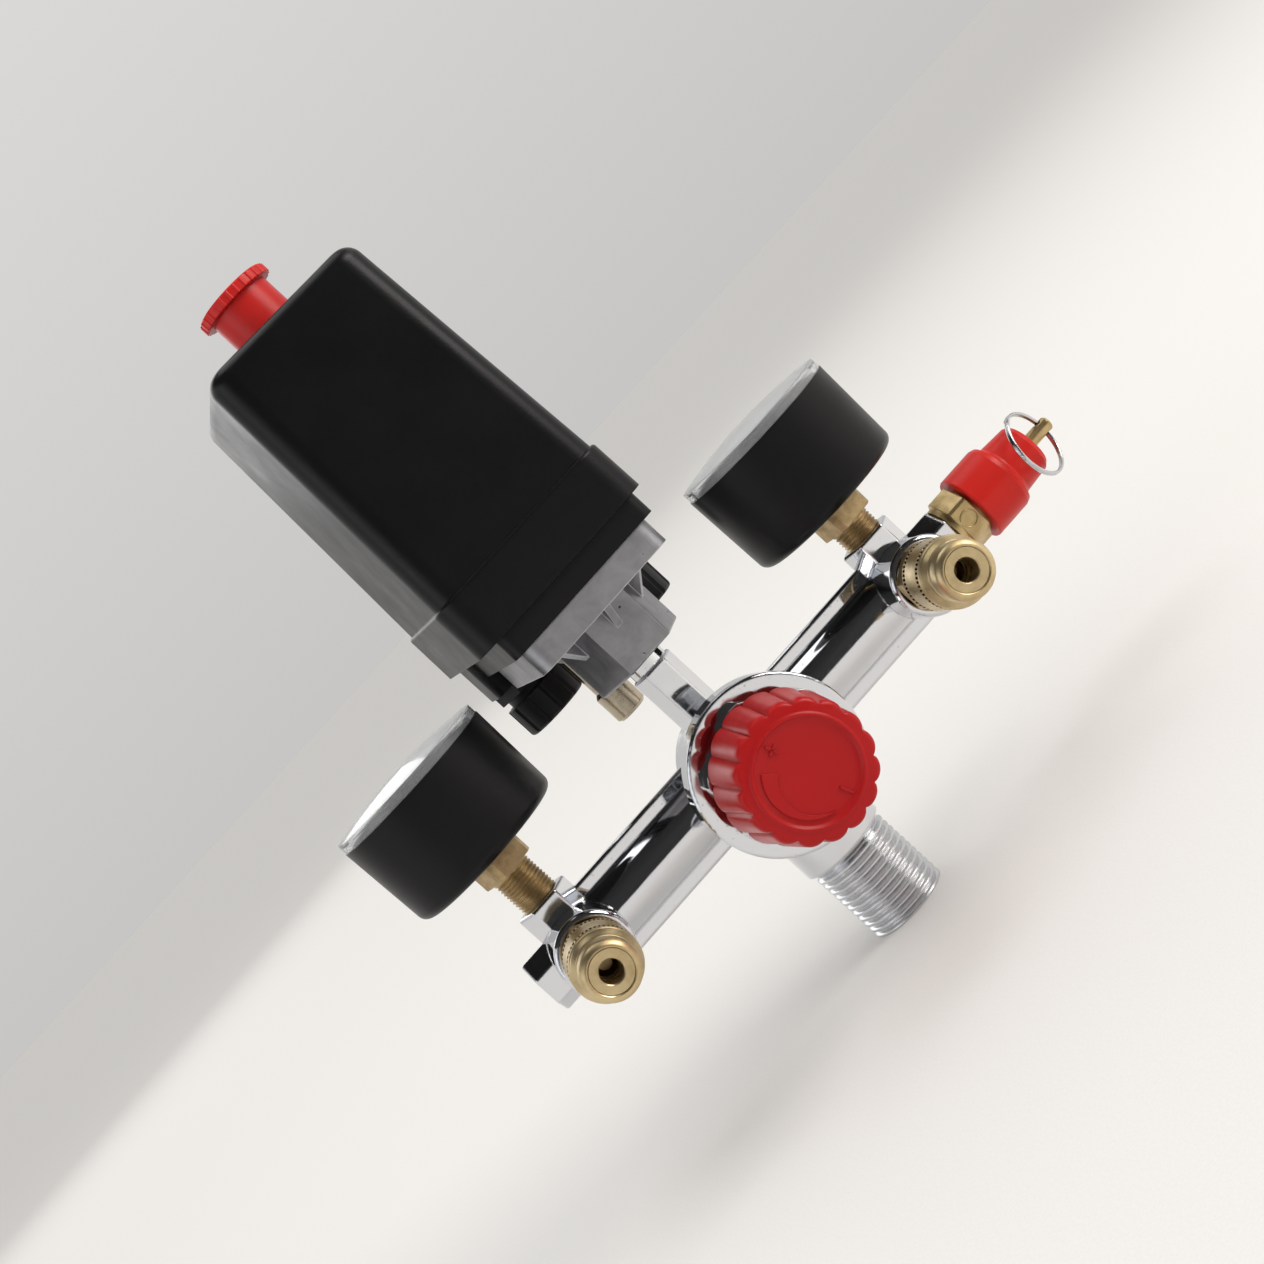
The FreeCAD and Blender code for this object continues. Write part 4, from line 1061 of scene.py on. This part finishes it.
@dataclass
class SafetyValve:
    """Brass safety valve with a red cap and a split ring to pull it open."""

    ring_radius: float = 8.45 * MM
    wire_radius: float = 0.42 * MM
    ring_turns: float = 2.0
    ring_start_deg: float = 100.0
    lean_deg: float = 45.0
    punch_radius: float = 2.0 * MM
    punch_x: float = 73.8 * MM

    def build(self) -> None:
        """Make the split ring and the punch mark, and dress the rest."""
        dress_nodes(VALVE_BRASS, "safety_valve_body", "safety_valve_stem")
        dress_nodes(CAP_RED, "safety_valve_cap")
        dress_nodes(NITRILE, "safety_valve_seal")
        dress_nodes(WIRE_STEEL, "safety_valve_spring")
        ring = place_piece("split_ring", self.ring(), WIRE_STEEL, "ring", crease_deg=60)
        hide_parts("pull_ring")
        mark = place_piece("punch_mark", self.punch_mark(), VALVE_BRASS, "unit", crease_deg=60)

    def ring(self) -> bmesh.types.BMesh:
        """Two close turns of wire in an upright plane, turned away from the valve's axis.

        Returns:
            The ring.
        """
        middle = centre_of("pull_ring")
        lean = Matrix.Rotation(math.radians(self.lean_deg), 4, "Z")
        outward = lean @ Vector((1, 0, 0))
        across = lean @ Vector((0, 1, 0))
        steps = 180
        start = math.radians(self.ring_start_deg)
        path = []
        for i in range(steps + 1):
            share = i / steps
            angle = start + TAU * self.ring_turns * share
            shift = (share - 0.5) * 2 * self.wire_radius * 1.02
            radial = outward * math.cos(angle) + Vector((0, 0, 1)) * math.sin(angle)
            path.append(middle + radial * self.ring_radius + across * shift)
        return swept_wire(path, self.wire_radius, 14)

    def punch_mark(self) -> bmesh.types.BMesh:
        """Round ring raised on the hexagon's front flat.

        Returns:
            The mark's shell.
        """
        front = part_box("safety_valve_body")[0][1] + 0.05 * MM
        middle = centre_of("safety_valve_body")
        placement = Matrix.Translation((self.punch_x, front, middle.z)) @ Matrix.Rotation(math.pi / 2, 4, "X")
        reach = self.punch_radius
        profile = [(reach - 0.25 * MM, 0), (reach + 0.25 * MM, 0), (reach + 0.15 * MM, 0.16 * MM),
                   (reach, 0.22 * MM), (reach - 0.15 * MM, 0.16 * MM)]
        return turned_shell(profile, 48, placement)


@dataclass
class SmallCouplerParts:
    """Parts that both couplers have in one CAD node each."""

    def build(self) -> None:
        """Dress the balls, seals and springs."""
        dress_nodes(BALL_STEEL, "coupler_balls")
        dress_nodes(NITRILE, "coupler_seals")
        dress_nodes(WIRE_STEEL, "sleeve_springs", "coupler_valve_springs")


@dataclass
class Switch:
    """Pressure switch: zinc flange, black base and cover, red button, glands and the works inside."""

    coil_radius: float = 6.0 * MM
    wire_radius: float = 0.9 * MM
    turns: int = 7
    lever_lift: float = 2.2 * MM

    def build(self) -> None:
        """Wind the main spring and dress every other part of the switch."""
        dress_nodes(FLANGE_ZINC, "switch_flange")
        dress_nodes(BASE_BLACK, "switch_base")
        dress_nodes(COVER_BLACK, "switch_cover")
        dress_nodes(BUTTON_RED, "on_off_button")
        dress_nodes(NYLON_BLACK, "cable_glands", "gland_nuts")
        dress_nodes(UNLOADER_BRASS, "unloader_valve")
        dress_nodes(NITRILE, "switch_diaphragm")
        dress_nodes(ACETAL_WHITE, "pressure_plunger", "contact_block")
        dress_nodes(PLATED_STEEL, "main_lever", "switch_frame", "lever_pin", "cover_post", "cover_screw",
                    "main_adjusting_screw", "main_spring_nut", "flange_screws", "terminal_screws")
        dress_nodes(COPPER, "contact_bridge")
        self.add_main_spring()

    def add_main_spring(self) -> None:
        """Wind the main spring in place of the CAD one."""
        low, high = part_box("main_spring")
        middle = centre_of("main_spring")
        steps = 20 * self.turns
        path = []
        for i in range(steps + 1):
            angle = TAU * self.turns * i / steps
            rise = low[2] + self.wire_radius + (high[2] - low[2] - 2 * self.wire_radius) * i / steps
            across, over = polar(self.coil_radius, angle)
            path.append(Vector((middle.x + across, middle.y + over, rise)))
        spring = place_piece("main_spring_coil", swept_wire(path, self.wire_radius, 10), WIRE_STEEL, "unit")
        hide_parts("main_spring")
        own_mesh(spring)


# ---------------------------------------------------------------- studio

@dataclass
class SoftBox:
    """One large soft lamp."""

    name: str
    place: tuple[float, float, float]
    size: float
    watts: float
    colour: str = "#FFFFFF"

    def build(self, target: Vector) -> None:
        """Hang the lamp and aim it.

        Args:
            target: the point it shines at.
        """
        lamp = bpy.data.lights.new(self.name, "AREA")
        lamp.shape = "SQUARE"
        lamp.size = self.size
        lamp.energy = self.watts
        lamp.color = linear(self.colour)[:3]
        holder = bpy.data.objects.new(self.name, lamp)
        holder.location = self.place
        holder.rotation_mode = "QUATERNION"
        holder.rotation_quaternion = (target - Vector(self.place)).to_track_quat("-Z", "Y")
        bpy.context.scene.collection.objects.link(holder)
        log.info("lamp %s", self.name)


@dataclass
class DarkFlag:
    """Dark cloth that only mirror reflections show, so that bright metal has something dark to reflect."""

    name: str
    place: tuple[float, float, float]
    size: tuple[float, float]
    facing: str

    def build(self) -> None:
        """Hang the cloth."""
        wide, tall = self.size[0] / 2, self.size[1] / 2
        tilt = Matrix.Rotation(math.pi / 2, 4, "X") if self.facing == "Y" else Matrix.Identity(4)
        cloth = plate([(-wide, -tall), (wide, -tall), (wide, tall), (-wide, tall)], -0.01, 0.01,
                      Matrix.Translation(self.place) @ tilt)
        hung = link_mesh(self.name, cloth, PaintedSheet("black_cloth_flag", "#2C2C2D", 0.95))
        for ray in ("camera", "diffuse", "transmission", "shadow", "volume_scatter"):
            setattr(hung, "visible_" + ray, False)
        log.info("flag %s", self.name)


@dataclass
class Studio:
    """Wide pale floor under an even pale sky, with soft lamps and the camera."""

    floor_colour: str = "#E9E7E4"
    floor_radius: float = 25.0
    world_colour: str = "#F2F1EF"
    world_strength: float = 0.86
    horizon_strength: float = 0.64
    camera_place: tuple[float, float, float] = (-0.0418, -0.4495, 0.1286)
    look: tuple[float, float, float] = (0.09867, 0.99133, -0.08671)
    up: tuple[float, float, float] = (0.73862, -0.01456, 0.67396)
    view_deg: float = 35.07
    lamps: list[SoftBox] = field(default_factory=lambda: [
        SoftBox("key_softbox", (1.25, -0.55, 0.75), 0.8, 13.0, "#FFFAF4"),
        SoftBox("fill_softbox", (-1.2, -0.7, 0.5), 1.0, 2.5, "#F4F7FF"),
        SoftBox("top_softbox", (0.2, 0.3, 1.4), 0.9, 4.0),
        SoftBox("back_softbox", (-0.5, 1.4, 0.8), 1.0, 3.0),
    ])
    flags: list[DarkFlag] = field(default_factory=lambda: [
        DarkFlag("front_flag", (0.0, -1.4, 0.9), (4.4, 3.0), "Y"),
        DarkFlag("ceiling_flag", (0.0, 0.0, 2.6), (5.0, 5.0), "Z"),
    ])

    def build(self) -> None:
        """Lay the floor, hang the lamps and set the camera."""
        self.lay_floor()
        for lamp in self.lamps:
            lamp.build(Vector((0.0, 0.0, 0.1)))
        for flag in self.flags:
            flag.build()
        bpy.context.scene.view_settings.view_transform = "Standard"
        self.light_sky()
        self.set_camera()

    def light_sky(self) -> None:
        """Light the air evenly, but a little less near the horizon, closer to the floor's brightness."""
        world = bpy.data.worlds.new("studio_air")
        world.use_nodes = True
        tree = world.node_tree
        air = tree.nodes["Background"]
        air.inputs["Color"].default_value = linear(self.world_colour)
        looking = add_node(tree, "TexCoord").outputs["Generated"]
        height = add_node(tree, "SeparateXYZ", None, {"Vector": looking}).outputs["Z"]
        strength = add_node(tree, "MapRange", None, {"Value": height, "From Min": 0.0, "From Max": 0.5,
                                                     "To Min": self.horizon_strength, "To Max": self.world_strength})
        tree.links.new(strength.outputs["Result"], air.inputs["Strength"])
        bpy.context.scene.world = world

    def lay_floor(self) -> None:
        """Lay a wide round floor at the height of the thread's end face."""
        steps = 96
        rim = [polar(self.floor_radius, TAU * i / steps) for i in range(steps)]
        level = CAD_BOX[0][2]
        slab = plate(rim, level - 0.02, level, Matrix.Identity(4))
        link_mesh("studio_floor", slab, PaintedSheet("matt_paper_floor", self.floor_colour, 0.9))

    def set_camera(self) -> None:
        """Put the camera in front, rolled so that the switch points up and to the left."""
        lens = bpy.data.cameras.new("camera")
        lens.sensor_fit = "HORIZONTAL"
        lens.angle = math.radians(self.view_deg)
        lens.clip_start = 0.01
        lens.clip_end = 50.0
        camera = bpy.data.objects.new("camera", lens)
        back = -Vector(self.look).normalized()
        right = Vector(self.up).cross(back).normalized()
        up = back.cross(right)
        turn = Matrix((right, up, back)).transposed().to_4x4()
        camera.matrix_world = Matrix.Translation(self.camera_place) @ turn
        bpy.context.scene.collection.objects.link(camera)
        bpy.context.scene.camera = camera


def main() -> None:
    """Build every sub-assembly, then the studio."""
    logging.basicConfig(level=logging.INFO, format="%(message)s")
    assemblies = [
        Manifold(),
        Regulator(),
        QuickCoupler(Side.LEFT),
        QuickCoupler(Side.RIGHT),
        SmallCouplerParts(),
        Gauge(Side.LEFT, stem_turn_deg=27.0),
        Gauge(Side.RIGHT, stem_turn_deg=18.0),
        SafetyValve(),
        Switch(),
        Studio(),
    ]
    for assembly in assemblies:
        log.info("building %s", type(assembly).__name__)
        assembly.build()


if __name__ == "__main__":
    main()
